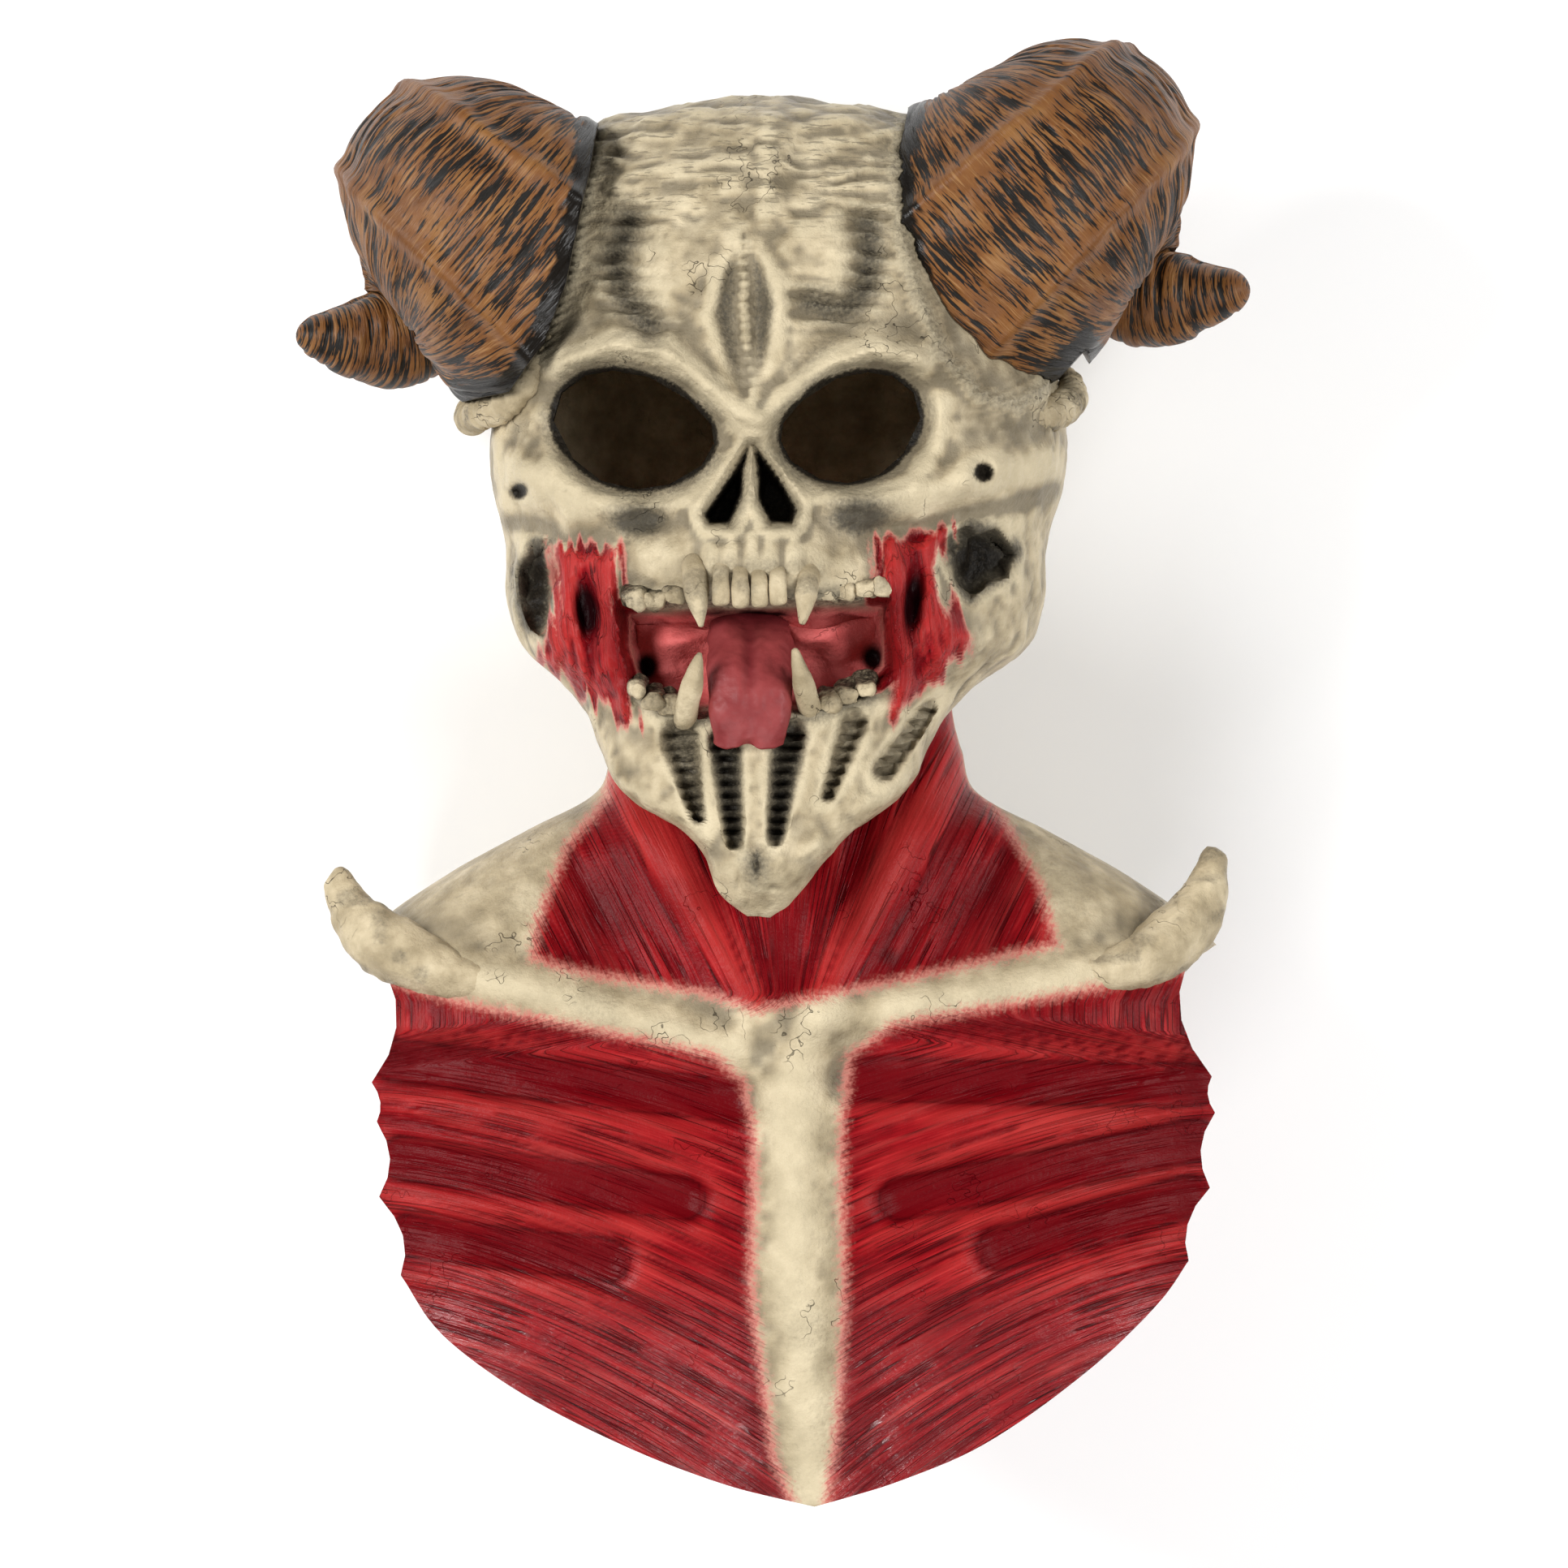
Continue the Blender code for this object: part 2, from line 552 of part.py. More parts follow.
def skull_with_gap(skin):
    """The bare skull grown by the gap, which gives the horns' roots their shape."""
    grown = bpy.data.objects.new("skull_with_gap", skin.data.copy())
    grown.data.materials.clear()
    CUTTERS.objects.link(grown)
    grown.hide_render = True
    grown.display_type = "WIRE"
    thinned(grown, HEAD_FACETS)
    swell = grown.modifiers.new("Gap", "DISPLACE")
    swell.strength = HORN_GAP
    swell.mid_level = 0
    return grown


def face_side(name, lip, inward):
    """All that lies on the face's side of a lip line, where a horn has to end."""
    reach = 220
    end_x = lip[-1][0] - 6 * inward
    outline = lip + [(end_x, lip[-1][1] - 14), (end_x, -reach), (inward * reach, -reach)]
    outline += [(inward * reach, reach), (lip[0][0], reach)]
    return prism(name, outline, -20, 320, CUTTERS)


def make_horns(skull):
    brown = material("painted_horn", (0.32, 0.13, 0.04), 0.45)
    root_x, root_y = HORN_PATH[0][:2]
    right = []
    for x, y, z, radius in HORN_PATH:
        dx = -(x - root_x)
        dy = y - root_y
        turned_x = dx * math.cos(RIGHT_HORN_TURN) - dy * math.sin(RIGHT_HORN_TURN)
        turned_y = dx * math.sin(RIGHT_HORN_TURN) + dy * math.cos(RIGHT_HORN_TURN)
        right.append((-root_x + RIGHT_HORN_OUT + turned_x, root_y + RIGHT_HORN_LIFT + turned_y, z, radius))
    collars = make_collars("collar_with_gap", HORN_GAP / UNIT, CUTTERS)
    ends = (face_side("left_end", LEFT_LIP, 1), face_side("right_end", RIGHT_LIP, -1))
    for name, path, collar, end in zip(("horn_left", "horn_right"), (HORN_PATH, right), collars, ends):
        horn = tube_along(
            name, path, HORN_ROW_COUNT, HORN_SIDE_COUNT, PARTS, HORN_EDGE_COUNT, HORN_EDGE_SHARE)
        merge = horn.modifiers.new("Merge", "REMESH")
        merge.mode = "VOXEL"
        merge.voxel_size = HORN_GRAIN * UNIT
        merged = horn.evaluated_get(bpy.context.evaluated_depsgraph_get()).data
        slim = horn.modifiers.new("Thin", "DECIMATE")
        slim.ratio = HORN_FACETS / (2 * len(merged.polygons))
        for other in (end, collar, skull):
            cut(horn, other)
        horn.data.materials.append(brown)


for old in list(bpy.data.objects):
    bpy.data.objects.remove(old, do_unlink=True)

PARTS = bpy.data.collections.new("devil_skull_mask")
CUTTERS = bpy.data.collections.new("cutters")
ADDED = bpy.data.collections.new("teeth_tongue_and_spikes")
for group in (PARTS, CUTTERS, ADDED):
    bpy.context.scene.collection.children.link(group)

mask_skin = make_skin()
make_horns(skull_with_gap(mask_skin))
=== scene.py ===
import math

import bmesh
import bpy
import numpy as np
from mathutils import Matrix, Vector


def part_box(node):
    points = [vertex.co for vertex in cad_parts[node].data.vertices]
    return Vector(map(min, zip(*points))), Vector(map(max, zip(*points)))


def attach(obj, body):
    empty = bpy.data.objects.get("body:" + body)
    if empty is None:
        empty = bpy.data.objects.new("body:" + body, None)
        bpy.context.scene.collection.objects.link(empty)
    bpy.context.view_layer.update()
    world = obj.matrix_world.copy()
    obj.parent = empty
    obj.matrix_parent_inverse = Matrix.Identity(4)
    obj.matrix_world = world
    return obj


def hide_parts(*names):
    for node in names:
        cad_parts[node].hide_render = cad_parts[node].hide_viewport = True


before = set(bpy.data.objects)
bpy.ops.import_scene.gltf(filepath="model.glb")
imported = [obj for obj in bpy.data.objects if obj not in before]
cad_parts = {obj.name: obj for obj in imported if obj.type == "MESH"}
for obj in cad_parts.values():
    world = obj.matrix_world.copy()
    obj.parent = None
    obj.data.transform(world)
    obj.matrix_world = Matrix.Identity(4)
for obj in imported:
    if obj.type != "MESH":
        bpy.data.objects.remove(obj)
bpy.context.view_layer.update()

highest = np.maximum.reduce

# The skull casting: a hollow over-the-head skin of slush-cast latex 3.5 to 5 mm thick, carved in clay and
# cast in one with the neck. It is painted bone with a thin dark wash that stays in the hollows, and its
# recesses are darkened further with painted shade. Everything is laid out in units of a skull 296 units
# high, and UNIT turns a unit into metres.
LAYOUT_LENGTH = 510.0
skin_low, skin_high = (Vector(corner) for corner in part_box("mask_skin"))
UNIT = (skin_high.y - skin_low.y) / LAYOUT_LENGTH
WALL = 3.5
INSET = 5.0
SKULL_ROWS = 275
SKULL_AROUND = 300

# Height, half width, front, back and middle of each section
HEAD_PROFILE = [
    (-160, 4, 214, 207, -3), (-156, 10, 218, 203, -3), (-148, 17, 223, 197, -2), (-138, 23, 225, 188, 0),
    (-130, 30, 224, 176, 0), (-120, 46, 222, 162, -1), (-113, 53, 220, 152, -1), (-100, 59, 217, 130, -1),
    (-88, 65, 214, 100, 0), (-76, 76, 212, 62, 1), (-65, 90, 212, 36, 3), (-50, 97, 212, 10, 3),
    (-25, 99, 207, -2, 3), (0, 105, 205, -4, 4), (30, 103, 207, -4, 4), (60, 95, 203, -3, 2),
    (90, 88, 193, 10, 1), (115, 74, 176, 30, 0), (130, 52, 155, 60, 0), (138, 12, 120, 95, -1),
]
HEAD_CORNER = 0.8
INSIDE_ROUNDER = 0.14

EYE_OUTLINE = [
    (-1.0, 0.18), (-0.9, 0.64), (-0.6, 0.93), (-0.25, 1.0), (0.2, 0.88), (0.7, 0.47), (0.97, 0.07),
    (1.0, -0.24), (0.85, -0.61), (0.45, -0.92), (0.05, -1.0), (-0.4, -0.85), (-0.75, -0.47),
]
# Middle across and up, half width, half height, and the side of the face
EYES = [(-48, 14, 29, 21.5, -1), (30, 14.5, 25, 20, 1)]
EYE_DENT = 13
LEFT_LIP = [(-61, 126), (-64, 105), (-72, 66), (-80, 45), (-93, 28), (-112, 25)]
RIGHT_LIP = [(51, 131), (46, 108), (48, 85), (55, 59), (65, 39), (76, 27), (90, 23), (106, 34), (115, 44)]
BROWS = [
    [(-73, 38), (-55, 43.5), (-37, 41.5), (-24, 31), (-11, 18)],
    [(54, 39), (38, 41.5), (22.5, 35), (9, 24), (-1, 16)],
]
EYE_RIMS = [
    [(-80, 20), (-76, 2), (-62, -9), (-44, -13), (-28, -10), (-18, 2)],
    [(4, 2), (16, -9), (36, -11), (52, -5), (60, 8), (61, 24)],
]
CHEEK_BONES = [
    [(-99, 4), (-84, -3), (-70, -13), (-52, -17)], [(104, 2), (84, 0), (68, -6), (52, -13), (30, -15)],
]
FOREHEAD_LENS = [(-8.5, 84), (-16, 70), (-19.5, 55), (-15, 38), (-6.5, 24), (0.5, 40), (3.5, 58), (-1, 72)]
LENS_RIDGE = [(-8.5, 80), (-8, 50), (-5.5, 26)]
TEMPLE_DENTS = [
    [(-49, 89), (-54, 75), (-51, 61), (-42, 51)], [(36, 88), (37, 75), (35, 64), (28, 56), (16, 59)],
]
CHEEK_HOLLOWS = [
    [(-90, -36), (-85, -26), (-78, -26), (-75, -36), (-78, -47), (-80, -60), (-86, -56), (-89.5, -47)],
    [(63, -27), (71, -21.5), (82, -21.5), (89, -30), (86, -38), (78, -41), (73, -46), (68, -40), (64.5, -33)],
]
ARCH_SHADOWS = [[(-99, -17), (-78, -23)], [(53, -23), (67, -18), (89, -14), (104, -6)]]
# Middle across and up, half width and half height of dents, holes and gaps, with a turn
CHEEK_DENTS = [(-46, -19, 13, 7), (33, -18, 14, 8.5)]
KNOB_HOLES = [(-89.5, -7.5, 3, 2.6), (77.5, -1.5, 3.6, 3.4)]
NOSE_HOLES = [
    [(-6.5, 8), (-14, -3), (-23, -17), (-21, -20.5), (-13, -21), (-8.5, -12)],
    [(-4.5, 8), (4, -2), (11.5, -15), (9.5, -20.5), (1, -20.5), (-3.5, -12)],
]
NOSE_DEPTH = 17
MOUTH_DEPTH = 25
MOUTH = [
    (-51, -51), (-27, -50), (16, -49), (43, -48), (43.5, -72), (35, -80), (14, -86), (-28, -87), (-46, -79),
    (-51, -64),
]
CHEEK_MUSCLES = [
    [(-77, -27), (-66, -28), (-54, -29), (-53, -46), (-51, -65), (-51, -75), (-47, -92), (-58, -86),
     (-81, -69), (-76, -50)],
    [(40, -26), (52, -24), (65, -21), (60, -36), (63, -46), (72, -60), (70, -66), (58, -78), (45, -90),
     (44, -75), (39, -46)],
]
CHEEK_GAPS = [(-64.5, -51, 5, 11, 0.1), (52, -48, 3.6, 13, -0.12)]
MUSCLE_CORDS = [
    [(-54, -30), (-57, -46), (-51, -62), (-50, -84)], [(44, -27), (45, -48), (49, -66), (47, -86)],
]
# Top and bottom of each slot in the jaw, with its half width at both
JAW_SLOTS = [
    ((-31, -97), (-24.5, -125), 6, 2.2), ((-15, -98), (-11.5, -133), 5, 2.6), ((8, -96), (3, -132), 5.5, 2.6),
    ((31, -92), (22, -117), 4.6, 2.2), ((58, -86), (42, -108), 2.6, 4),
]
JAW_EDGES = [
    [(-95, -62), (-66, -90), (-56, -112), (-22, -132)],
    [(97, -65), (78, -79), (60, -99), (49, -112), (18, -136)],
]
TOOTH_ROOTS = [-21, -13, -5.5, 1.5, 9]
# Middle across and up, and radius
UPPER_INCISORS = [(-16.4, -45, 3.3), (-9.4, -45.6, 3.3), (-2.8, -45.6, 3.2), (3.9, -45, 3.2)]


def curve_through(knots, at):
    """Values at heights `at` on the smooth line through (height, value) knots."""
    heights, values = np.array(knots, dtype=float).T
    slope = np.gradient(values, heights)
    at = np.clip(at, heights[0], heights[-1])
    low = np.clip(np.searchsorted(heights, at) - 1, 0, len(heights) - 2)
    step = heights[low + 1] - heights[low]
    t = (at - heights[low]) / step
    start = (1 + 2 * t) * (1 - t) ** 2 * values[low] + t * (1 - t) ** 2 * step * slope[low]
    end = t * t * (3 - 2 * t) * values[low + 1] + t * t * (t - 1) * step * slope[low + 1]
    return start + end


def column(profile, number):
    return [(row[0], row[number]) for row in profile]


def smooth(value, low, high):
    t = np.clip((value - low) / (high - low), 0, 1)
    return t * t * (3 - 2 * t)


def bump(x, y, across, up, half_width, half_height, turn=0.0):
    """Round-topped hill, 1 at its middle."""
    u = (x - across) * math.cos(turn) + (y - up) * math.sin(turn)
    v = (y - up) * math.cos(turn) - (x - across) * math.sin(turn)
    return np.exp(-(u / half_width) ** 2 - (v / half_height) ** 2)


def to_line(x, y, points, closed=False):
    """Distance to a line of points."""
    away = np.full_like(x, 1e6)
    ends = points[1:] + points[:1] if closed else points[1:]
    for (x0, y0), (x1, y1) in zip(points, ends):
        length = (x1 - x0) ** 2 + (y1 - y0) ** 2
        t = np.clip(((x - x0) * (x1 - x0) + (y - y0) * (y1 - y0)) / length, 0, 1)
        away = np.minimum(away, np.hypot(x - x0 - t * (x1 - x0), y - y0 - t * (y1 - y0)))
    return away


def band(x, y, points, half_width):
    """Round-topped band along a line of points."""
    return np.exp(-(to_line(x, y, points) / half_width) ** 2)


def depth_inside(x, y, outline):
    """Distance inside a closed outline, negative outside it."""
    inside = np.zeros(x.shape, dtype=bool)
    for (x0, y0), (x1, y1) in zip(outline, outline[1:] + outline[:1]):
        if y0 != y1:
            crosses = ((y0 > y) != (y1 > y)) & (x < (x1 - x0) * (y - y0) / (y1 - y0) + x0)
            inside ^= crosses
    return np.where(inside, 1, -1) * to_line(x, y, outline, closed=True)


def grain(x, y, z, size, seed):
    """Smooth noise from -1 to 1, with grains of one size, or of a width, height and depth."""
    points = np.stack([x, y, z], axis=-1) / size
    cell = np.floor(points).astype(np.int64)
    t = points - cell
    t = t * t * (3 - 2 * t)
    total = np.zeros(points.shape[:-1])
    for number in range(8):
        offset = np.array([number & 1, number >> 1 & 1, number >> 2 & 1])
        key = (cell + offset) @ np.array([73856093, 19349663, 83492791]) + seed * 2654435
        key = (key ^ (key >> 13)) * 1274126177 & 0x7FFFFFFF
        key = (key ^ (key >> 15)) * 668265263 & 0x7FFFFFFF
        weight = np.prod(np.where(offset == 1, t, 1 - t), axis=-1)
        total += weight * ((key >> 8 & 0xFFFF) / 32767.5 - 1)
    return total


def eye_share(x, y, eye):
    """Distance from the middle of an eye hole as a share of the hole's own reach that way."""
    across, up, half_width, half_height, side = eye
    u = -side * (x - across) / half_width
    v = (y - up) / half_height
    corners = sorted((math.atan2(b, a), math.hypot(a, b)) for a, b in EYE_OUTLINE)
    angles = [angle for angle, reach in corners]
    reaches = [reach for angle, reach in corners]
    return np.hypot(u, v) / np.interp(np.arctan2(v, u), angles, reaches, period=2 * math.pi)


def slot_share(x, y, slot):
    """1 down the middle of a slot that narrows towards the chin, 0 outside it."""
    (x0, y0), (x1, y1), top, bottom = slot
    t = ((x - x0) * (x1 - x0) + (y - y0) * (y1 - y0)) / ((x1 - x0) ** 2 + (y1 - y0) ** 2)
    t = np.clip(t, 0, 1)
    away = np.hypot(x - x0 - t * (x1 - x0), y - y0 - t * (y1 - y0))
    return np.exp(-(away / (top + t * (bottom - top))) ** 4)


def nose_depth(x, y):
    return np.maximum(*(depth_inside(x, y, hole) for hole in NOSE_HOLES))


def face_form(x, y):
    """Height of the main forms of the face over the plain skull."""
    z = 11 * bump(x, y, -5, -34, 40, 17)
    for line, height, half_width in (
            *((brow, 10, 7) for brow in BROWS), *((brow, 2.5, 2.4) for brow in BROWS),
            *((rim, 4, 4.5) for rim in EYE_RIMS),
            *((bone, 8, 8) for bone in CHEEK_BONES), *((lip, 4, 4) for lip in (LEFT_LIP, RIGHT_LIP)),
            *((edge, 3, 4.5) for edge in JAW_EDGES)):
        z += height * band(x, y, line, half_width)
    z += 4 * band(x, y, [(-48, -86), (-5, -92), (40, -84)], 7)
    z += 5 * bump(x, y, -4, -147, 12, 12)
    z += 2.2 * band(x, y, [(-1, 90), (1, 137)], 4)
    lens = depth_inside(x, y, FOREHEAD_LENS)
    z += 1.5 * np.exp(-((lens + 2) / 3) ** 2) - 5 * smooth(lens, -1, 7) + 3.5 * band(x, y, LENS_RIDGE, 2.6)
    for dent in TEMPLE_DENTS:
        z -= 5 * band(x, y, dent, 7)
    for eye in EYES:
        z -= EYE_DENT / (1 + (eye_share(x, y, eye) / 1.17) ** 12)
    nose = nose_depth(x, y)
    z += 3 * np.exp(-((nose + 2.6) / 2.4) ** 2) - NOSE_DEPTH * smooth(nose, -1.2, 3)
    for across in TOOTH_ROOTS:
        z += 1.8 * bump(x, y, across, -33, 2.6, 11)
    for hollow in CHEEK_HOLLOWS:
        z -= 17 * smooth(depth_inside(x, y, hollow), -1.5, 4)
    for shadow in ARCH_SHADOWS:
        z -= 3 * band(x, y, shadow, 4)
    for dent in CHEEK_DENTS:
        z -= 5 * bump(x, y, *dent)
    for across, up, half_width, half_height in KNOB_HOLES:
        z += 4.5 * bump(x, y, across, up, 11, 8) - 10 * bump(x, y, across, up, half_width, half_height)
    z -= MOUTH_DEPTH * smooth(depth_inside(x, y, MOUTH), -2.5, 4)
    for muscle, gap, cord in zip(CHEEK_MUSCLES, CHEEK_GAPS, MUSCLE_CORDS):
        z += 6 * smooth(depth_inside(x, y, muscle), -3, 6) - 9 * bump(x, y, *gap) + 3 * band(x, y, cord, 3)
    for slot in JAW_SLOTS:
        z -= 7.5 * slot_share(x, y, slot)
    return z


def face_detail(x, y, z):
    """Small carving in the clay: wrinkles, pits, beads, muscle fibres, and the ribs of the slots."""
    fine = 1.2 * grain(x, y, z, 14, 1)
    fine += 0.8 * grain(x, y, z, 6, 2)
    fine += 0.3 * grain(x, y, z, 2.6, 3)
    wander = 2.5 * grain(x, y, z, 12, 4)
    wrinkles = grain(x, y + wander, z, (14, 2.6, 20), 5)
    fine += 1.5 * wrinkles * smooth(y, 70, 96) * smooth(np.abs(x), 3, 9)
    for dent in TEMPLE_DENTS:
        fine += 1.7 * np.sin(2 * math.pi * (y + wander) / 6.5 + 0.12 * x) * band(x, y, dent, 8)
    hollows = highest([smooth(depth_inside(x, y, hollow), -2, 3) for hollow in CHEEK_HOLLOWS])
    fine += 4.5 * grain(x, y, z, (5, 8, 12), 8) * hollows
    for dent in CHEEK_DENTS:
        fine += 1.6 * grain(x, y, z, (5, 4, 8), 9) * bump(x, y, *dent)
    fine += 0.7 * np.sin(2 * math.pi * y / 3.8) * band(x, y, LENS_RIDGE, 3.2)
    fine += 0.8 * np.sin(2 * math.pi * (y + 0.4 * wander) / 7) * band(x, y, [(-1, 90), (1, 137)], 4)
    muscle = highest([smooth(depth_inside(x, y, outline), -2, 2) for outline in CHEEK_MUSCLES])
    fine += 1.6 * grain(x + 0.12 * y, y, z, (2.4, 30, 60), 6) * muscle
    for slot in JAW_SLOTS:
        fine += 1.7 * slot_share(x, y, slot) * np.sin(2 * math.pi * y / 4.3 + grain(x, y, z, (4, 9, 9), 7))
    for lip in (LEFT_LIP, RIGHT_LIP):
        fine += 0.5 * band(x, y, lip, 5) * np.sin(2 * math.pi * (y - 0.4 * x + wander) / 3.2)
    folds = 13 * bump(x, y, -27, -60, 13, 8, 0.25) + 13 * bump(x, y, 18, -58, 14, 8, -0.25)
    folds += 6 * bump(x, y, -33, -74, 8, 5)
    fine += (folds + 4 * grain(x, y, z, (9, 6, 20), 10)) * smooth(depth_inside(x, y, MOUTH), 0, 5)
    fine -= 2 * bump(x, y, -3.5, -142, 1.3, 6, 0.2)
    fine -= 1.2 * bump(x, y, 3, -150, 5, 1.2) + 1.2 * bump(x, y, -11, -146, 1.2, 4)
    return fine


def hollow_share(height, reach):
    """How far each point of a grid of heights lies below the mean of those round it, per unit of reach."""
    level = height
    for axis in (0, 1):
        level = np.mean([np.roll(level, shift, axis=axis) for shift in range(-reach, reach + 1)], axis=0)
    return (level - height) / (0.16 * reach)


def placed(name, data):
    piece = bpy.data.objects.new(name, data)
    bpy.context.scene.collection.objects.link(piece)
    return piece


def new_piece(name, bm):
    """A piece from a closed body, its faces turned outwards."""
    if bm.calc_volume(signed=True) < 0:
        bmesh.ops.reverse_faces(bm, faces=bm.faces)
    mesh = bpy.data.meshes.new(name)
    bm.to_mesh(mesh)
    bm.free()
    return placed(name, mesh)


def wrapped_skin(name, points):
    """A closed skin through rows of points, each row a ring, with a fan at each end."""
    rows, around = points.shape[:2]
    ends = np.stack([points[0].mean(axis=0), points[-1].mean(axis=0)])
    places = np.concatenate([points.reshape(-1, 3), ends]) * UNIT
    index = np.arange(rows * around).reshape(rows, around)
    beside = np.roll(index, -1, axis=1)
    quads = np.stack([index[:-1], beside[:-1], beside[1:], index[1:]], axis=-1).reshape(-1, 4)
    first, last = rows * around, rows * around + 1
    fans = [(first, int(b), int(a)) for a, b in zip(index[0], beside[0])]
    fans += [(last, int(a), int(b)) for a, b in zip(index[-1], beside[-1])]
    mesh = bpy.data.meshes.new(name)
    mesh.from_pydata(places.tolist(), [], quads.tolist() + fans)
    bm = bmesh.new()
    bm.from_mesh(mesh)
    bpy.data.meshes.remove(mesh)
    return new_piece(name, bm)


def pushed_out(points, height):
    """Rings of points, each moved out of the surface by its height."""
    along = np.gradient(points, axis=0)
    around = np.roll(points, -1, axis=1) - np.roll(points, 1, axis=1)
    normal = np.cross(around, along)
    normal /= np.maximum(np.linalg.norm(normal, axis=-1), 1e-9)[..., None]
    outward = points - points.mean(axis=1, keepdims=True)
    return points + normal * np.sign((normal * outward).sum(axis=-1).mean()) * height[..., None]


def profile_rings(profile, form, inset, rows, around, corner, front_share):
    """Rings of points through a profile's sections, closer together at the front."""
    bottom = profile[0][0] + inset
    top = profile[-1][0] - inset
    y = np.linspace(bottom, top, rows)[:, None] * np.ones(around)
    turn = np.linspace(-1, 1, around, endpoint=False)[None, :] * np.ones((rows, 1))
    angle = math.pi * (front_share * turn + (1 - front_share) * turn ** 3)
    half = np.maximum(curve_through(column(profile, 1), y) - inset, 1)
    front = curve_through(column(profile, 2), y) - inset
    back = curve_through(column(profile, 3), y)
    if inset > 0:
        back = np.maximum(back, 0) + WALL
    middle = curve_through(column(profile, 4), y)
    centre = (front + back) / 2
    x = middle + half * np.sign(np.sin(angle)) * np.abs(np.sin(angle)) ** 0.9
    z = centre + (front - back) / 2 * np.sign(np.cos(angle)) * np.abs(np.cos(angle)) ** corner
    fade = smooth(np.cos(angle), 0, 0.35)
    z = np.maximum(z + form(x, y) * fade, back)
    if inset == 0:
        z = np.maximum(z, 0)
    return np.stack([x, y, z], axis=-1), fade


def carved_skin(name, profile, form, carving, rows, around, corner, front_share, share_at_back):
    """The outside of a profile with its form and small carving, and how high both stand at each point."""
    rings, fade = profile_rings(profile, form, 0, rows, around, corner, front_share)
    detail = carving(*np.moveaxis(rings, -1, 0)) * (share_at_back + (1 - share_at_back) * fade)
    detail *= smooth(rings[..., 2], 0.5, 6)
    rings = pushed_out(rings, detail)
    rings[..., 2] = np.maximum(rings[..., 2], 0)
    return wrapped_skin(name, rings), form(rings[..., 0], rings[..., 1]) * fade + detail


def lowered(form, reach=4.5):
    """The same form worn down to its lowest value close by, for the inside of the skin."""
    def worn(x, y):
        offsets = [(0, 0), (reach, 0), (-reach, 0), (0, reach), (0, -reach)]
        return np.minimum.reduce([form(x + a, y + b) for a, b in offsets] + [np.zeros_like(x)])
    return worn


def cut(piece, others, operation="DIFFERENCE"):
    """Booleans on dense closed meshes, applied one after the other."""
    for other in others:
        change = piece.modifiers.new("Cut", "BOOLEAN")
        change.operation = operation
        change.solver = "MANIFOLD"
        change.object = other
    graph = bpy.context.evaluated_depsgraph_get()
    result = bpy.data.meshes.new_from_object(piece.evaluated_get(graph))
    piece.modifiers.clear()
    piece.data = result


def prism(name, outline, low, high):
    """A flat outline raised from one height to another."""
    bm = bmesh.new()
    face = bm.faces.new([bm.verts.new((x * UNIT, y * UNIT, low * UNIT)) for x, y in outline])
    raised = bmesh.ops.extrude_face_region(bm, geom=[face])
    for item in raised["geom"]:
        if isinstance(item, bmesh.types.BMVert):
            item.co.z = high * UNIT
    bm.normal_update()
    return new_piece(name, bm)


def shade(piece, sharp_degrees=50):
    piece.data.shade_smooth()
    piece.data.set_sharp_from_angle(angle=math.radians(sharp_degrees))


def layout_places(piece):
    """The piece's points in layout units."""
    flat = np.empty(len(piece.data.vertices) * 3, dtype=np.float32)
    piece.data.vertices.foreach_get("co", flat)
    return flat.reshape(-1, 3).astype(float) / UNIT


def paint(piece, **layers):
    """Stores a number for each point under each name, for the material to read."""
    for name, values in layers.items():
        layer = piece.data.attributes.new(name, "FLOAT", "POINT")
        layer.data.foreach_set("value", np.clip(values, 0, 1).astype(np.float32))


def lay_out(piece, name, places):
    """Stores a place for each point, in layout units, along which a pattern runs."""
    layer = piece.data.attributes.new(name, "FLOAT_VECTOR", "POINT")
    layer.data.foreach_set("vector", places.astype(np.float32).reshape(-1))


def with_ends(values):
    """Grid values in the order of a wrapped skin's points, with its two end points."""
    return np.append(values.reshape(-1), [0, 0])


def srgb(code):
    """A hex colour turned to linear values."""
    parts = [int(code[k:k + 2], 16) / 255 for k in (1, 3, 5)]
    return tuple(p / 12.92 if p <= 0.04045 else ((p + 0.055) / 1.055) ** 2.4 for p in parts) + (1.0,)


def add(tree, kind, inputs=None, **settings):
    """Adds a node with its settings, and sets or links its inputs."""
    made = tree.nodes.new("ShaderNode" + kind)
    for name, value in settings.items():
        setattr(made, name, value)
    for socket, value in (inputs or {}).items():
        if isinstance(value, bpy.types.NodeSocket):
            tree.links.new(value, made.inputs[socket])
        else:
            made.inputs[socket].default_value = value
    return made


def new_material(name):
    material = bpy.data.materials.new(name)
    material.use_nodes = True
    return material, material.node_tree, material.node_tree.nodes["Principled BSDF"]


def ramp(tree, factor, stops):
    made = add(tree, "ValToRGB", {0: factor})
    while len(made.color_ramp.elements) < len(stops):
        made.color_ramp.elements.new(0.5)
    for element, (place, colour) in zip(made.color_ramp.elements, stops):
        element.position = place
        element.color = srgb(colour)
    return made.outputs["Color"]


def blend(tree, share, first, second):
    """A mix of two colours, each a link or a hex colour."""
    first, second = (srgb(colour) if isinstance(colour, str) else colour for colour in (first, second))
    return add(tree, "Mix", {0: share, 6: first, 7: second}, data_type="RGBA").outputs[2]


def noise(tree, place, millimetres, detail=4, roughness=0.55, stretch=(1, 1, 1)):
    """Noise whose grain is about the given size."""
    scaled = add(tree, "Mapping", {0: place, 3: stretch})
    made = add(tree, "TexNoise", {0: scaled.outputs[0], "Scale": 1000 / millimetres, "Detail": detail,
                                  "Roughness": roughness})
    return made.outputs["Fac"]


def math_node(tree, kind, *values):
    return add(tree, "Math", dict(enumerate(values)), operation=kind).outputs[0]


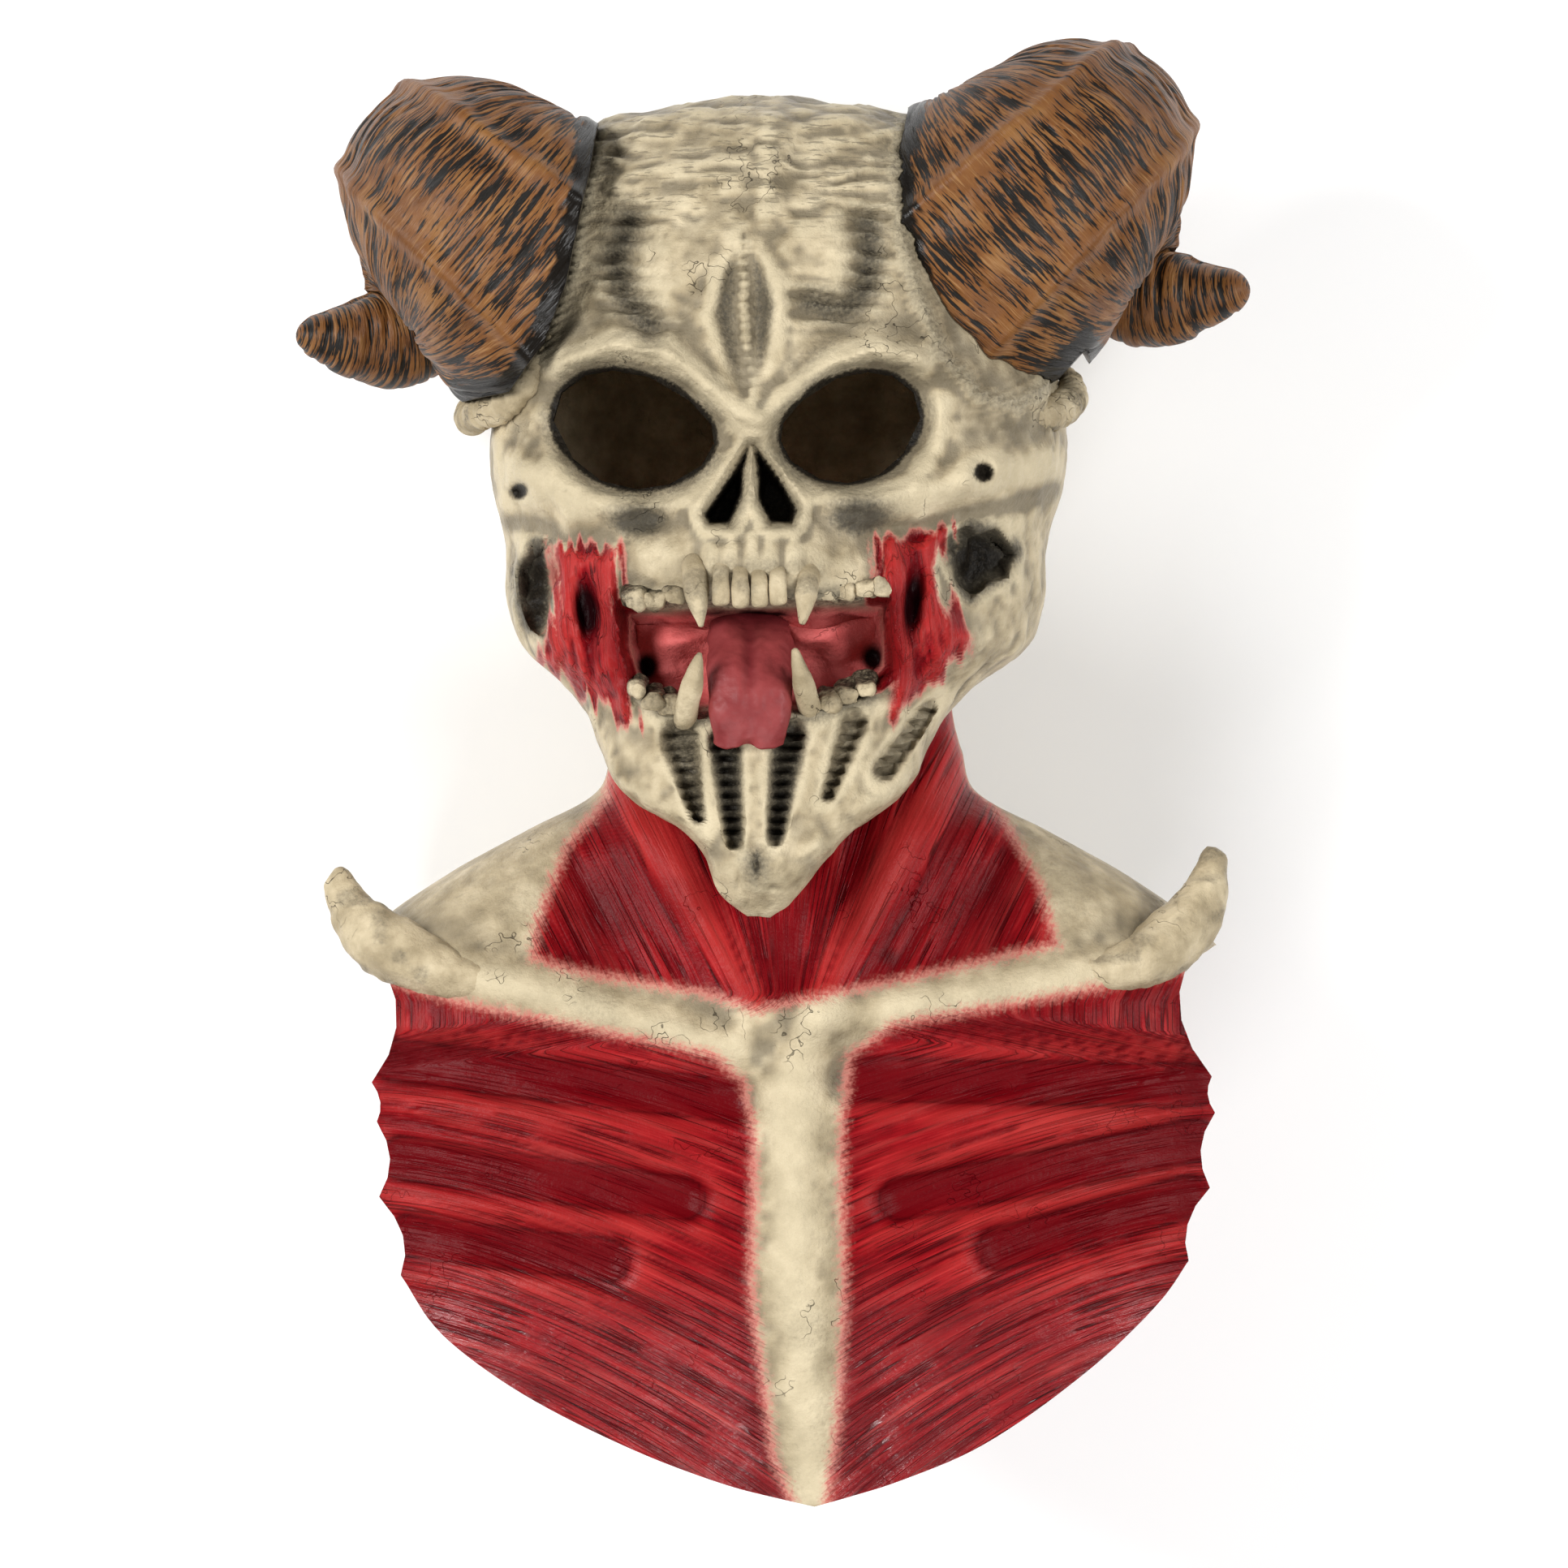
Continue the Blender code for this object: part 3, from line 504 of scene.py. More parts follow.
def times(tree, first, second):
    return math_node(tree, "MULTIPLY", first, second)


def attribute(tree, name, socket="Fac"):
    return add(tree, "Attribute", attribute_name=name).outputs[socket]


def soft_step(tree, value, low, high):
    """Rises from 0 to 1 between low and high, or falls where high is the lower one."""
    return add(tree, "MapRange", {0: value, 1: low, 2: high}, interpolation_type="SMOOTHSTEP").outputs[0]


def dress(shader, colour, height, strength=0.8, distance=0.001):
    """Gives a shader its colour and a fine relief."""
    tree = shader.id_data
    tree.links.new(colour, shader.inputs["Base Color"])
    relief = add(tree, "Bump", {"Strength": strength, "Distance": distance, "Height": height})
    tree.links.new(relief.outputs[0], shader.inputs["Normal"])


def vary(shader, socket, share, low, high):
    """Runs a shader's socket from low to high with a share."""
    made = add(shader.id_data, "MapRange", {0: share, 3: low, 4: high})
    shader.id_data.links.new(made.outputs[0], shader.inputs[socket])


def painted_latex():
    """Moulded latex with air-brushed and washed acrylic paint: an eggshell bone with an olive glaze and a
    black wash in the hollows, each recess darkened further with painted shade and each ridge lightened with
    dry-brush and a painted highlight, the teeth darkened at the root with painted shade, and red on the bared
    flesh, with a gloss coat low on the chest."""
    material, tree, shader = new_material("painted_moulded_latex")
    place = add(tree, "TexCoord").outputs["Object"]
    speck = noise(tree, place, 1.6, roughness=0.65)
    off_middle = math_node(tree, "SUBTRACT", speck, 0.5)
    clay = noise(tree, place, 5, detail=5, roughness=0.65)
    bone = ramp(tree, noise(tree, place, 13), [(0.3, "#8F8166"), (0.5, "#AC9D80"), (0.68, "#C4B597")])
    # Ridges lightened: a paler dry-brush and a painted highlight that makes the carving show.
    bone = blend(tree, times(tree, attribute(tree, "crest"), 0.5), bone, "#CFC2A4")
    lines = noise(tree, place, 1.3, detail=3, roughness=0.6, stretch=(0.16, 1, 0.16))
    lines = times(tree, soft_step(tree, lines, 0.46, 0.36), attribute(tree, "lined"))
    shade = math_node(tree, "MULTIPLY_ADD", off_middle, 0.7, attribute(tree, "shade"))
    # Recesses darkened by the hollow layer: partly a wash, partly painted shade.
    dark = math_node(tree, "MAXIMUM", times(tree, attribute(tree, "hollow"), 0.6), lines)
    shade = math_node(tree, "MAXIMUM", soft_step(tree, shade, 0.05, 1.05), dark)
    bone = blend(tree, shade, bone, "#4B463C")
    crack = math_node(tree, "ABSOLUTE", math_node(tree, "SUBTRACT", noise(tree, place, 9, detail=2), 0.5))
    here = soft_step(tree, noise(tree, place, 31, detail=1), 0.6, 0.66)
    crack = times(tree, soft_step(tree, crack, 0.008, 0.0), here)
    # Black wash and fine cracks; on the teeth this layer is painted shade towards the root.
    stain_and_shade = math_node(tree, "MULTIPLY_ADD", off_middle, 1.0, attribute(tree, "wash"))
    stain_and_shade = math_node(tree, "MAXIMUM", soft_step(tree, stain_and_shade, 0.25, 0.9), times(tree, crack, 0.7))
    bone = blend(tree, stain_and_shade, bone, ramp(tree, speck, [(0.35, "#0F0D0B"), (0.65, "#2B261F")]))
    strand = attribute(tree, "strand", "Vector")
    thread = noise(tree, strand, 1.5, detail=3, roughness=0.6, stretch=(0.001, 0.00004, 0.001))
    thick = noise(tree, strand, 5, detail=2, stretch=(0.001, 0.00008, 0.001))
    red = ramp(tree, thread, [(0.3, "#240103"), (0.4, "#6A060C"), (0.56, "#8A0E16"), (0.74, "#A82A2A")])
    red = blend(tree, soft_step(tree, thick, 0.48, 0.8), red, "#A23230")
    hair = noise(tree, strand, 3.2, detail=1, stretch=(0.001, 0.00003, 0.001))
    hair = math_node(tree, "ABSOLUTE", math_node(tree, "SUBTRACT", hair, 0.5))
    here = soft_step(tree, noise(tree, place, 17, detail=1), 0.35, 0.55)
    hair = times(tree, soft_step(tree, hair, 0.03, 0.006), here)
    red = blend(tree, times(tree, hair, 0.8), red, "#1E0204")
    # Ridges of the red lightened the same way: dry-brush and a painted highlight.
    red = blend(tree, times(tree, attribute(tree, "crest"), 0.5), red, "#B0332F")
    # The red darkened in the recesses the same way: partly a wash, partly painted shade.
    red = blend(tree, times(tree, attribute(tree, "hollow"), 0.7), red, "#560209")
    red = blend(tree, attribute(tree, "shade"), red, "#5A0209")
    red = blend(tree, soft_step(tree, attribute(tree, "wash"), 0.3, 0.9), red, "#180204")
    edge = math_node(tree, "SUBTRACT", thread, 0.5)
    edge = math_node(tree, "MULTIPLY_ADD", edge, 0.3, attribute(tree, "flesh"))
    edge = soft_step(tree, math_node(tree, "MULTIPLY_ADD", off_middle, 0.5, edge), 0.1, 0.85)
    pink = blend(tree, soft_step(tree, edge, 0.1, 0.95), "#C98274", red)
    colour = blend(tree, soft_step(tree, edge, 0.0, 0.5), bone, pink)
    rose = ramp(tree, noise(tree, place, 8), [(0.3, "#BC5351"), (0.7, "#D26A67")])
    rose = blend(tree, soft_step(tree, attribute(tree, "wash"), 0.3, 0.9), rose, "#150506")
    colour = blend(tree, attribute(tree, "lining"), colour, rose)
    split = add(tree, "SeparateXYZ", {0: place})
    lacquer = times(tree, soft_step(tree, split.outputs["Y"], -0.28, -0.325), edge)
    vary(shader, "Roughness", lacquer, 0.34, 0.2)
    vary(shader, "Specular IOR Level", lacquer, 0.08, 0.6)
    threads = math_node(tree, "MULTIPLY_ADD", thread, 0.6, times(tree, hair, -0.5))
    threads = times(tree, threads, math_node(tree, "MULTIPLY_ADD", lacquer, 1.2, edge))
    height = math_node(tree, "MULTIPLY_ADD", speck, 0.25, math_node(tree, "SUBTRACT", threads, crack))
    lumps = times(tree, clay, math_node(tree, "MULTIPLY_ADD", edge, -1.2, 1.6))
    dress(shader, colour, math_node(tree, "MULTIPLY_ADD", lines, -0.5, math_node(tree, "ADD", height, lumps)))
    return material


def shade_darkened_raw_latex():
    """Bare cured latex as left inside a slush casting, with faint clouding, in a dull tan darkened as painted
    shade so that the eye holes read dark.
    """
    material, tree, shader = new_material("bare_latex_darkened_with_shade")
    place = add(tree, "TexCoord").outputs["Object"]
    shader.inputs["Roughness"].default_value = 0.7
    # The tan is darker than the latex itself: painted shade for the inside seen through the eye holes.
    tan = ramp(tree, noise(tree, place, 30), [(0.35, "#4A3A2A"), (0.65, "#665038")])
    dress(shader, tan, noise(tree, place, 5), strength=0.3)
    return material


def skull_paint(piece):
    """Where the grey shading, the black wash, the red flesh and the rose lining go on the skull."""
    x, y, z = layout_places(piece).T
    front = smooth(z, 95, 130)
    lens = smooth(depth_inside(x, y, FOREHEAD_LENS), -2, 3)
    uneven = 2.5 * grain(x, y, z, 9, 12)
    shade = highest([
        *(0.85 * band(x, y, dent, 8.5) for dent in TEMPLE_DENTS),
        *(smooth(depth_inside(x, y, hollow) + uneven, -7, 2) for hollow in CHEEK_HOLLOWS),
        *(0.5 * band(x, y, shadow, 4) for shadow in ARCH_SHADOWS),
        *(1.2 * bump(x, y, *dent) for dent in CHEEK_DENTS),
        *(weight * slot_share(x, y, (top, end, 1.35 * wide, 1.35 * narrow))
          for (top, end, wide, narrow), weight in zip(JAW_SLOTS, (0.8, 1, 1, 0.65, 0.5))),
        *(0.55 * band(x, y, lip, 7) for lip in (LEFT_LIP, RIGHT_LIP)),
        *(0.45 * band(x, y, [(a, b - 9) for a, b in edge], 7) for edge in JAW_EDGES),
        *(0.6 * (1 - smooth(eye_share(x, y, eye), 1.08, 1.34)) for eye in EYES),
        0.85 * lens * (1 - 0.75 * band(x, y, LENS_RIDGE, 3.2)),
        0.3 * smooth(np.abs(x + 1), 30, 75) * smooth(y, 40, 90),
        *(0.5 * band(x, y, [(a, b + 11) for a, b in brow[:-1]], 5) for brow in BROWS),
        0.8 * bump(x, y, -4, -142, 6, 9), 0.5 * bump(x, y, -5, -36, 30, 5),
        0.5 * smooth(nose_depth(x, y), -5, 0),
    ])
    wash = highest([
        *(0.55 * band(x, y, dent, 4.5) * (0.6 + 0.4 * np.sin(y)) for dent in TEMPLE_DENTS),
        *(0.95 * smooth(depth_inside(x, y, hollow) + uneven, -2, 6) for hollow in CHEEK_HOLLOWS),
        *(0.75 * bump(x, y, across, -38, 3.4, 1.1) for across, up, radius in UPPER_INCISORS),
        *(1.5 * bump(x, y, *hole) for hole in KNOB_HOLES),
        *(weight * slot_share(x, y, slot) * (1 - 0.25 * np.sin(2 * math.pi * y / 4.3))
          for slot, weight in zip(JAW_SLOTS, (0.4, 0.7, 0.7, 0.2, 0.1))),
        *(0.3 * band(x, y, lip, 3) for lip in (LEFT_LIP, RIGHT_LIP)),
        0.6 * bump(x, y, -3.5, -142, 2, 7), smooth(nose_depth(x, y), -0.6, 1.6),
        *((1 - smooth(eye_share(x, y, eye), 1.0, 1.12)) for eye in EYES),
    ])
    inside_mouth = depth_inside(x, y, MOUTH)
    ragged = 4.5 * grain(x + 0.12 * y, y, z, (1.8, 24, 60), 11)
    muscle = highest([smooth(depth_inside(x, y, outline) + ragged, -5, 5) for outline in CHEEK_MUSCLES])
    lip_corners = smooth(np.abs(x + 5), 38, 43) * smooth(inside_mouth, -6, -3)
    muscle = np.maximum(muscle, lip_corners * smooth(y, -84, -77) * smooth(-y, 33, 38))
    gaps = highest([bump(x, y, *gap) for gap in CHEEK_GAPS])
    # Darker deep in the mouth's two corners and along the top of the mouth, under the upper teeth.
    throat = highest([bump(x, y, -43, -71, 5, 6), bump(x, y, 38, -68, 5, 6), bump(x, y, -5, -51.5, 40, 2)])
    gum = np.exp(-((inside_mouth + 1) / 2.4) ** 2)
    wash = highest([wash * (1 - muscle), 1.2 * gaps, 1.1 * throat * smooth(inside_mouth, 0, 3), 0.55 * gum])
    shade = np.maximum(shade * (1 - muscle), 0.7 * np.exp(-((inside_mouth + 3) / 4) ** 2))
    flesh = muscle * (1 - smooth(inside_mouth, 0, 3))
    paint(piece, wash=wash * front, shade=shade * front, flesh=flesh * front,
          lined=0.5 * smooth(y, 72, 100) * front, lining=smooth(inside_mouth, 0.5, 3) * front)
    lay_out(piece, "strand", np.stack([x + 0.12 * y, y, z], axis=-1))


skull, heights = carved_skin(
    "skull_skin", HEAD_PROFILE, face_form, face_detail, SKULL_ROWS, SKULL_AROUND, HEAD_CORNER, 0.5, 0.35)
# From the carved heights: recesses get wash and painted shade, ridges dry-brush and a painted highlight.
paint(skull, hollow=with_ends(np.maximum(hollow_share(heights, 9), hollow_share(heights, 3))),
      crest=with_ends(np.maximum(-hollow_share(heights, 7), -0.7 * hollow_share(heights, 2))))
whole_skull = placed("whole_skull", skull.data.copy())
latex = painted_latex()
bare = shade_darkened_raw_latex()
skull.data.materials.append(latex)

skull_inside = wrapped_skin("skull_inside", profile_rings(
    HEAD_PROFILE, lowered(face_form), INSET, 70, 84, HEAD_CORNER + INSIDE_ROUNDER, 0.7)[0])
skull_inside.data.materials.append(bare)
eye_cutters = []
for number, (across, up, half_width, half_height, side) in enumerate(EYES):
    outline = [(across - side * u * half_width, up + v * half_height) for u, v in EYE_OUTLINE]
    cutter = prism(f"eye_cut_{number}", outline, 120, 300)
    cutter.data.materials.append(latex)
    eye_cutters.append(cutter)


# The neck and chest: the lower half of the same latex casting, a throat of red muscle over collar bones, two
# shoulder spikes, a breastbone and a pointed bib of rib muscle with a hand-trimmed scalloped edge. The red is
# brushed on glossy, with each muscle fibre picked out dark.
CHEST_ROWS = 290
CHEST_AROUND = 270
CHEST_CORNER = 0.62
CHEST_PROFILE = [
    (-410, 170, 182, -3, 7), (-372, 172, 184, -3, 7), (-300, 174, 188, -3, 7), (-230, 174, 180, -3, 7),
    (-190, 168, 172, -3, 7), (-172, 158, 168, -1, 7), (-158, 142, 165, 2, 7), (-145, 122, 162, 8, 7),
    (-130, 95, 158, 14, 7), (-118, 72, 154, 18, 7), (-100, 64, 152, 22, 7), (-30, 64, 150, 30, 5),
]
BIB_LEFT_TIPS = [(-138, -181), (-143, -221), (-141, -235), (-140, -262), (-132, -290)]
BIB_RIGHT_TIPS = [(152, -178), (161, -219), (162, -232), (160, -259), (152, -285)]
BIB_LEFT_EDGE = [(-117, -311), (-88, -332), (-48, -352), (-13, -365)]
BIB_RIGHT_EDGE = [(140, -301), (114, -325), (78, -350), (45, -364)]
BIB_POINT = (17, -372)
SCALLOP_SHARE = 0.16
FLAP_HALF_WIDTH = 120
FLAP_BOTTOM = -240
SHOULDER_TOP = -172
SHOULDER_SLANT = 16
SIDE_SEAM = 94.3
ARM_MIDDLE_UP = -209
ARM_MIDDLE_OVER = 68
ARM_REACH_UP = 56
ARM_REACH_OVER = 52
RIB_GROOVES = [
    [(-135, -213), (-12, -227)], [(-132, -248), (-30, -262)], [(-129, -276), (-57, -284)],
    [(29, -219), (155, -222)], [(48, -262), (155, -242)], [(83, -280), (152, -262)],
]
NECK_FLESH = [
    (-60, -80), (-60, -118), (-74, -135), (-84, -161), (-86, -177), (-71, -182), (-22, -190), (-4, -196),
    (19, -191), (72, -180), (106, -172), (100, -149), (88, -126), (75, -108), (74, -80),
]
LEFT_FLESH = [
    (-200, -176), (-138, -182), (-112, -190), (-71, -198), (-19, -209), (-7, -219), (-3, -239), (-4, -297),
    (4, -355), (13, -375), (-200, -420),
]
RIGHT_FLESH = [
    (220, -172), (148, -179), (103, -188), (45, -198), (28, -210), (25, -239), (26, -297), (24, -340),
    (19, -375), (220, -420),
]


def chest_form(x, y):
    """Height of the main forms of the neck and chest."""
    z = 6 * band(x, y, [(-142, -174), (-90, -186), (-13, -207)], 9)
    z += 6 * band(x, y, [(19, -198), (90, -186), (152, -175)], 9)
    z += 5 * band(x, y, [(9, -205), (10, -290), (17, -368)], 13)
    z += 6 * band(x, y, [(-58, -106), (-4, -192)], 10)
    z += 6 * band(x, y, [(74, -92), (19, -190)], 10)
    for groove in RIB_GROOVES:
        z -= 5 * np.exp(-(to_line(x, y, groove) / 8.5) ** 3)
    z -= 6 * bump(x, y, -62, -160, 16, 20)
    z -= 6 * bump(x, y, 80, -155, 16, 20)
    return z


def fibre_lines(x, y):
    """Across and along the muscle fibres, in layout units, on the neck and on the fanned chest."""
    breast = np.interp(-y, [205, 290, 372], [10, 11, 17])
    share = np.where(x < breast, (x + 140) / (breast + 140), (160 - x) / (160 - breast))
    share = np.clip(share, 0, 1) ** 1.6
    fan = (-y - 181 - 26 * share) / (116 + 46 * share) * 140
    along = np.abs(x - breast)
    neck_width = np.interp(-y, [90, 192], [66, 14])
    off_middle = np.abs(x - 7)
    strand = off_middle / neck_width * 34
    strand = np.where(off_middle < neck_width, strand, 34 + (off_middle - neck_width) * 0.8)
    on_neck = smooth(y + 0.12 * np.abs(x - 5), -200, -186)
    return fan * (1 - on_neck) + strand * on_neck, along * (1 - on_neck) - y * on_neck


def flesh_share(x, y):
    outlines = (NECK_FLESH, LEFT_FLESH, RIGHT_FLESH)
    return highest([smooth(depth_inside(x, y, outline), -8, 13) for outline in outlines])


def chest_strands(x, y):
    across, along = fibre_lines(x, y)
    wander = 1.5 * grain(across, along, np.zeros_like(x), (9, 30, 1), 20)
    coarse = grain(across + wander, along, np.zeros_like(x), (5, 60, 1), 21)
    fine = grain(across + wander, along, np.zeros_like(x), (2.2, 34, 1), 22)
    return coarse + 0.7 * fine


def chest_detail(x, y, z):
    """Fibres on the flesh and a hand-worked unevenness on the bone."""
    flesh = flesh_share(x, y)
    uneven = 0.8 * grain(x, y, z, 16, 23) + 0.25 * grain(x, y, z, 4, 24)
    return uneven * (1 - 0.5 * flesh) + 0.85 * chest_strands(x, y) * flesh


def scalloped(tips):
    """The tips with a hollow between each two, bowed towards the middle of the chest."""
    outline = [tips[0]]
    for (x0, y0), (x1, y1) in zip(tips, tips[1:]):
        inward = -math.copysign(1, x0) * SCALLOP_SHARE * math.hypot(x1 - x0, y1 - y0)
        for t in (0.25, 0.5, 0.75):
            bow = inward * (1 - (2 * t - 1) ** 2)
            outline.append((x0 + (x1 - x0) * t + bow, y0 + (y1 - y0) * t))
        outline.append((x1, y1))
    return outline


def rounded_edge(points):
    """Points along a smooth line through the given ones."""
    steps = np.arange(len(points))
    fine = np.linspace(0, len(points) - 1, 8 * (len(points) - 1) + 1)
    xs = curve_through([(k, p[0]) for k, p in zip(steps, points)], fine)
    ys = curve_through([(k, p[1]) for k, p in zip(steps, points)], fine)
    return list(zip(xs.tolist(), ys.tolist()))


def chest_outlines():
    reach = 240
    left = scalloped(BIB_LEFT_TIPS)[:-1] + rounded_edge(BIB_LEFT_TIPS[-1:] + BIB_LEFT_EDGE + [BIB_POINT])
    right = scalloped(BIB_RIGHT_TIPS)[:-1] + rounded_edge(BIB_RIGHT_TIPS[-1:] + BIB_RIGHT_EDGE + [BIB_POINT])
    front = [(-reach, reach), (-reach, SHOULDER_TOP + SHOULDER_SLANT), (-150, SHOULDER_TOP)] + left
    front += right[-2::-1] + [(163, SHOULDER_TOP), (reach, SHOULDER_TOP + SHOULDER_SLANT), (reach, reach)]
    back = [
        (-reach, reach), (-reach, SHOULDER_TOP + SHOULDER_SLANT), (-FLAP_HALF_WIDTH - 22, SHOULDER_TOP),
        (-FLAP_HALF_WIDTH, FLAP_BOTTOM), (FLAP_HALF_WIDTH, FLAP_BOTTOM),
        (FLAP_HALF_WIDTH + 22, SHOULDER_TOP), (reach, SHOULDER_TOP + SHOULDER_SLANT), (reach, reach),
    ]
    keep = prism("chest_outline", front, SIDE_SEAM, 320)
    flap = prism("flap_outline", back, -20, SIDE_SEAM + 0.2)
    cut(keep, [flap], "UNION")
    return keep, flap


def arm_opening():
    """A bar through both shoulders, which gives the side edges their arch."""
    bm = bmesh.new()
    bmesh.ops.create_cone(bm, cap_ends=True, segments=64, radius1=1, radius2=1, depth=480 * UNIT)
    bmesh.ops.rotate(bm, verts=bm.verts, matrix=Matrix.Rotation(math.pi / 2, 4, "Y"), cent=(0, 0, 0))
    for vert in bm.verts:
        vert.co.y = (ARM_MIDDLE_UP + vert.co.y * ARM_REACH_UP) * UNIT
        vert.co.z = (ARM_MIDDLE_OVER + vert.co.z * ARM_REACH_OVER) * UNIT
    return new_piece("arm_opening", bm)


def chest_paint(piece):
    """Where the black wash and the red flesh go on the neck and chest, and which way the fibres run."""
    x, y, z = layout_places(piece).T
    front = smooth(z, 88, 120)
    flesh = flesh_share(x, y)
    pits = highest([
        bump(x, y, -72, -176, 7, 4), bump(x, y, -44, -184, 7, 4), bump(x, y, 44, -176, 6, 7),
        bump(x, y, -18, -186, 6, 5), 0.7 * bump(x, y, -62, -160, 9, 16), 0.7 * bump(x, y, 80, -150, 9, 16),
        0.6 * bump(x, y, 0, -172, 12, 12),
    ])
    grooves = highest([np.exp(-(to_line(x, y, groove) / 9) ** 3) for groove in RIB_GROOVES])
    rims = highest([np.exp(-((to_line(x, y, groove) - 7.5) / 1.7) ** 2) for groove in RIB_GROOVES])
    clouds = 0.25 * smooth(grain(x, y, z, (30, 22, 30), 25), 0, 0.6)
    paint(piece, wash=np.maximum(0.7 * pits, 0.6 * rims) * flesh * front, flesh=flesh * front,
          shade=np.maximum(0.8 * grooves, clouds) * front, lined=x * 0, lining=x * 0)
    lay_out(piece, "strand", np.stack([*fibre_lines(x, y), z * 0], axis=-1))


chest, heights = carved_skin(
    "chest_skin", CHEST_PROFILE, chest_form, chest_detail, CHEST_ROWS, CHEST_AROUND, CHEST_CORNER, 0.45, 0.2)
# As on the skull: recesses get wash and painted shade, ridges dry-brush and a painted highlight.
paint(chest, hollow=with_ends(np.maximum(0.7 * hollow_share(heights, 8), hollow_share(heights, 2))),
      crest=with_ends(-0.6 * hollow_share(heights, 7)))
chest.data.materials.append(latex)
chest_inside = wrapped_skin("chest_inside", profile_rings(
    [(-440, 166, 182, -3, 7)] + CHEST_PROFILE[1:], lowered(chest_form), INSET, 60, 80,
    CHEST_CORNER + INSIDE_ROUNDER, 0.7)[0])
chest_inside.data.materials.append(bare)

outline_keep, flap_keep = chest_outlines()
outline_keep.data.materials.append(latex)
arms = arm_opening()
arms.data.materials.append(latex)
cut(chest, [chest_inside])
cut(chest, [outline_keep], "INTERSECT")
cut(chest, [arms, whole_skull])
cut(skull, [skull_inside, chest_inside] + eye_cutters)
for spare in [skull_inside, chest_inside, outline_keep, flap_keep, arms] + eye_cutters:
    bpy.data.objects.remove(spare, do_unlink=True)
skull_paint(skull)
chest_paint(chest)
shade(skull)
shade(chest)
for piece in (skull, chest):
    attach(piece, "root")
    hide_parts("mask_skin")


# Teeth and shoulder spikes: cast in one with the skin, each a tapering body with a blunt worn tip. They are
# painted a paler bone, and the teeth are darkened towards the root with painted shade. The spikes are
# finished as the collar bones are.


def untwisted_frames(points):
    """Directions sideways and over at each point of a path, carried along without twist."""
    ahead = np.gradient(points, axis=0)
    ahead /= np.linalg.norm(ahead, axis=1)[:, None]
    side = np.zeros_like(ahead)
    side[0] = np.cross(ahead[0], (0.0, 0.0, 1.0))
    if np.linalg.norm(side[0]) < 0.2:
        side[0] = (1.0, 0.0, 0.0)
    for number in range(len(points)):
        carried = side[max(number - 1, 0)]
        carried = carried - ahead[number] * carried.dot(ahead[number])
        side[number] = carried / np.linalg.norm(carried)
    return side, np.cross(side, ahead)


RIDGE_RISE = 0.06
RIDGE_HALF_WIDTH = 0.09


def on_ridges(angle, ridges):
    """1 along each lengthwise ridge of a body, by the angle round it."""
    off = [(angle - ridge + math.pi) % (2 * math.pi) - math.pi for ridge in ridges]
    return sum(np.exp(-(turn / RIDGE_HALF_WIDTH) ** 2) for turn in off)


def path_rings(path, rows, around, flatness=1.0, blunt=0.06, square=2.0, ridges=(), shares=None):
    """Rings along (across, up, height, radius) points, rounded off over the last share of the length. A
    square of 2 gives round sections, and more gives squarer ones."""
    steps = np.linspace(0, 1, len(path))
    knots = np.array(path, dtype=float)
    shares = np.linspace(0, 1, rows) if shares is None else shares
    spine = np.column_stack([curve_through(list(zip(steps, knots[:, k])), shares) for k in range(4)])
    side, over = untwisted_frames(spine[:, :3])
    from_end = np.clip((1 - shares) / blunt, 0, 1)
    radius = spine[:, 3] * np.sqrt(np.clip(1 - (1 - from_end) ** 2, 0.0004, 1))
    angle = np.linspace(0, 2 * math.pi, around, endpoint=False)
    swell = (np.abs(np.cos(angle)) ** square + np.abs(np.sin(angle)) ** square) ** (-1 / square)
    reach = radius[:, None] * (swell + RIDGE_RISE * on_ridges(angle, ridges))[None, :]
    sideways = side[:, None, :] * np.cos(angle)[None, :, None]
    upwards = over[:, None, :] * np.sin(angle)[None, :, None] * flatness
    return spine[:, None, :3] + reach[..., None] * (sideways + upwards), shares, angle


def rough_body(name, path, rows, around, lumps, seed, **shape):
    points = path_rings(path, rows, around, **shape)[0]
    x, y, z = np.moveaxis(points, -1, 0)
    height = lumps * grain(x, y, z, 5, seed) + 0.3 * lumps * grain(x, y, z, 2, seed)
    return wrapped_skin(name, pushed_out(points, height))


def joined(name, pieces):
    """One piece from several bodies."""
    bm = bmesh.new()
    for piece in pieces:
        bm.from_mesh(piece.data)
        bpy.data.objects.remove(piece, do_unlink=True)
    return new_piece(name, bm)


# Root across and up, tip across and up, and radius
FANGS = [
    (-26, -37, -23.3, -57.5, 4.2), (15, -38, 12.4, -56.5, 4.0), (-29, -88, -23.7, -66, 4.0),
    (15.2, -86, 9.8, -65, 3.9),
]
# Middle across and up, and radius
MOLARS = [
    (-33, -45.5, 3.9), (-40, -46.8, 4.3), (-47.5, -47, 4.4), (21.5, -44.6, 3.7), (28, -44.2, 4.1),
    (35, -43.2, 4.3), (41.5, -42, 4), (-34.5, -85, 3.9), (-40.5, -82.5, 3.9), (-46, -79, 3.2),
    (22, -83.6, 3.9), (28.5, -81.4, 4.1), (35, -78.2, 3.6),
]
# Across, up, height over the floor and radius at points of each middle line
LEFT_SPIKE = [
    (-100, -185, 158, 6), (-120, -180, 151, 10), (-138, -171, 141, 12), (-150, -160, 134, 9),
    (-157, -144, 129, 4),
]
RIGHT_SPIKE = [
    (114, -183, 158, 6), (134, -178, 151, 10), (148, -168, 141, 12), (158, -155, 134, 9), (163, -136, 129, 4),
]
LEFT_COLLAR = [
    (-76, 48, 172, 2.5), (-90, 27, 158, 5), (-104, 21, 136, 6), (-108, 22, 106, 5.5), (-102, 36, 80, 2.5),
]
RIGHT_COLLAR = [(62, 38, 180, 2.5), (78, 22, 168, 5), (96, 19, 152, 6), (110, 26, 128, 6), (110, 38, 98, 2.5)]

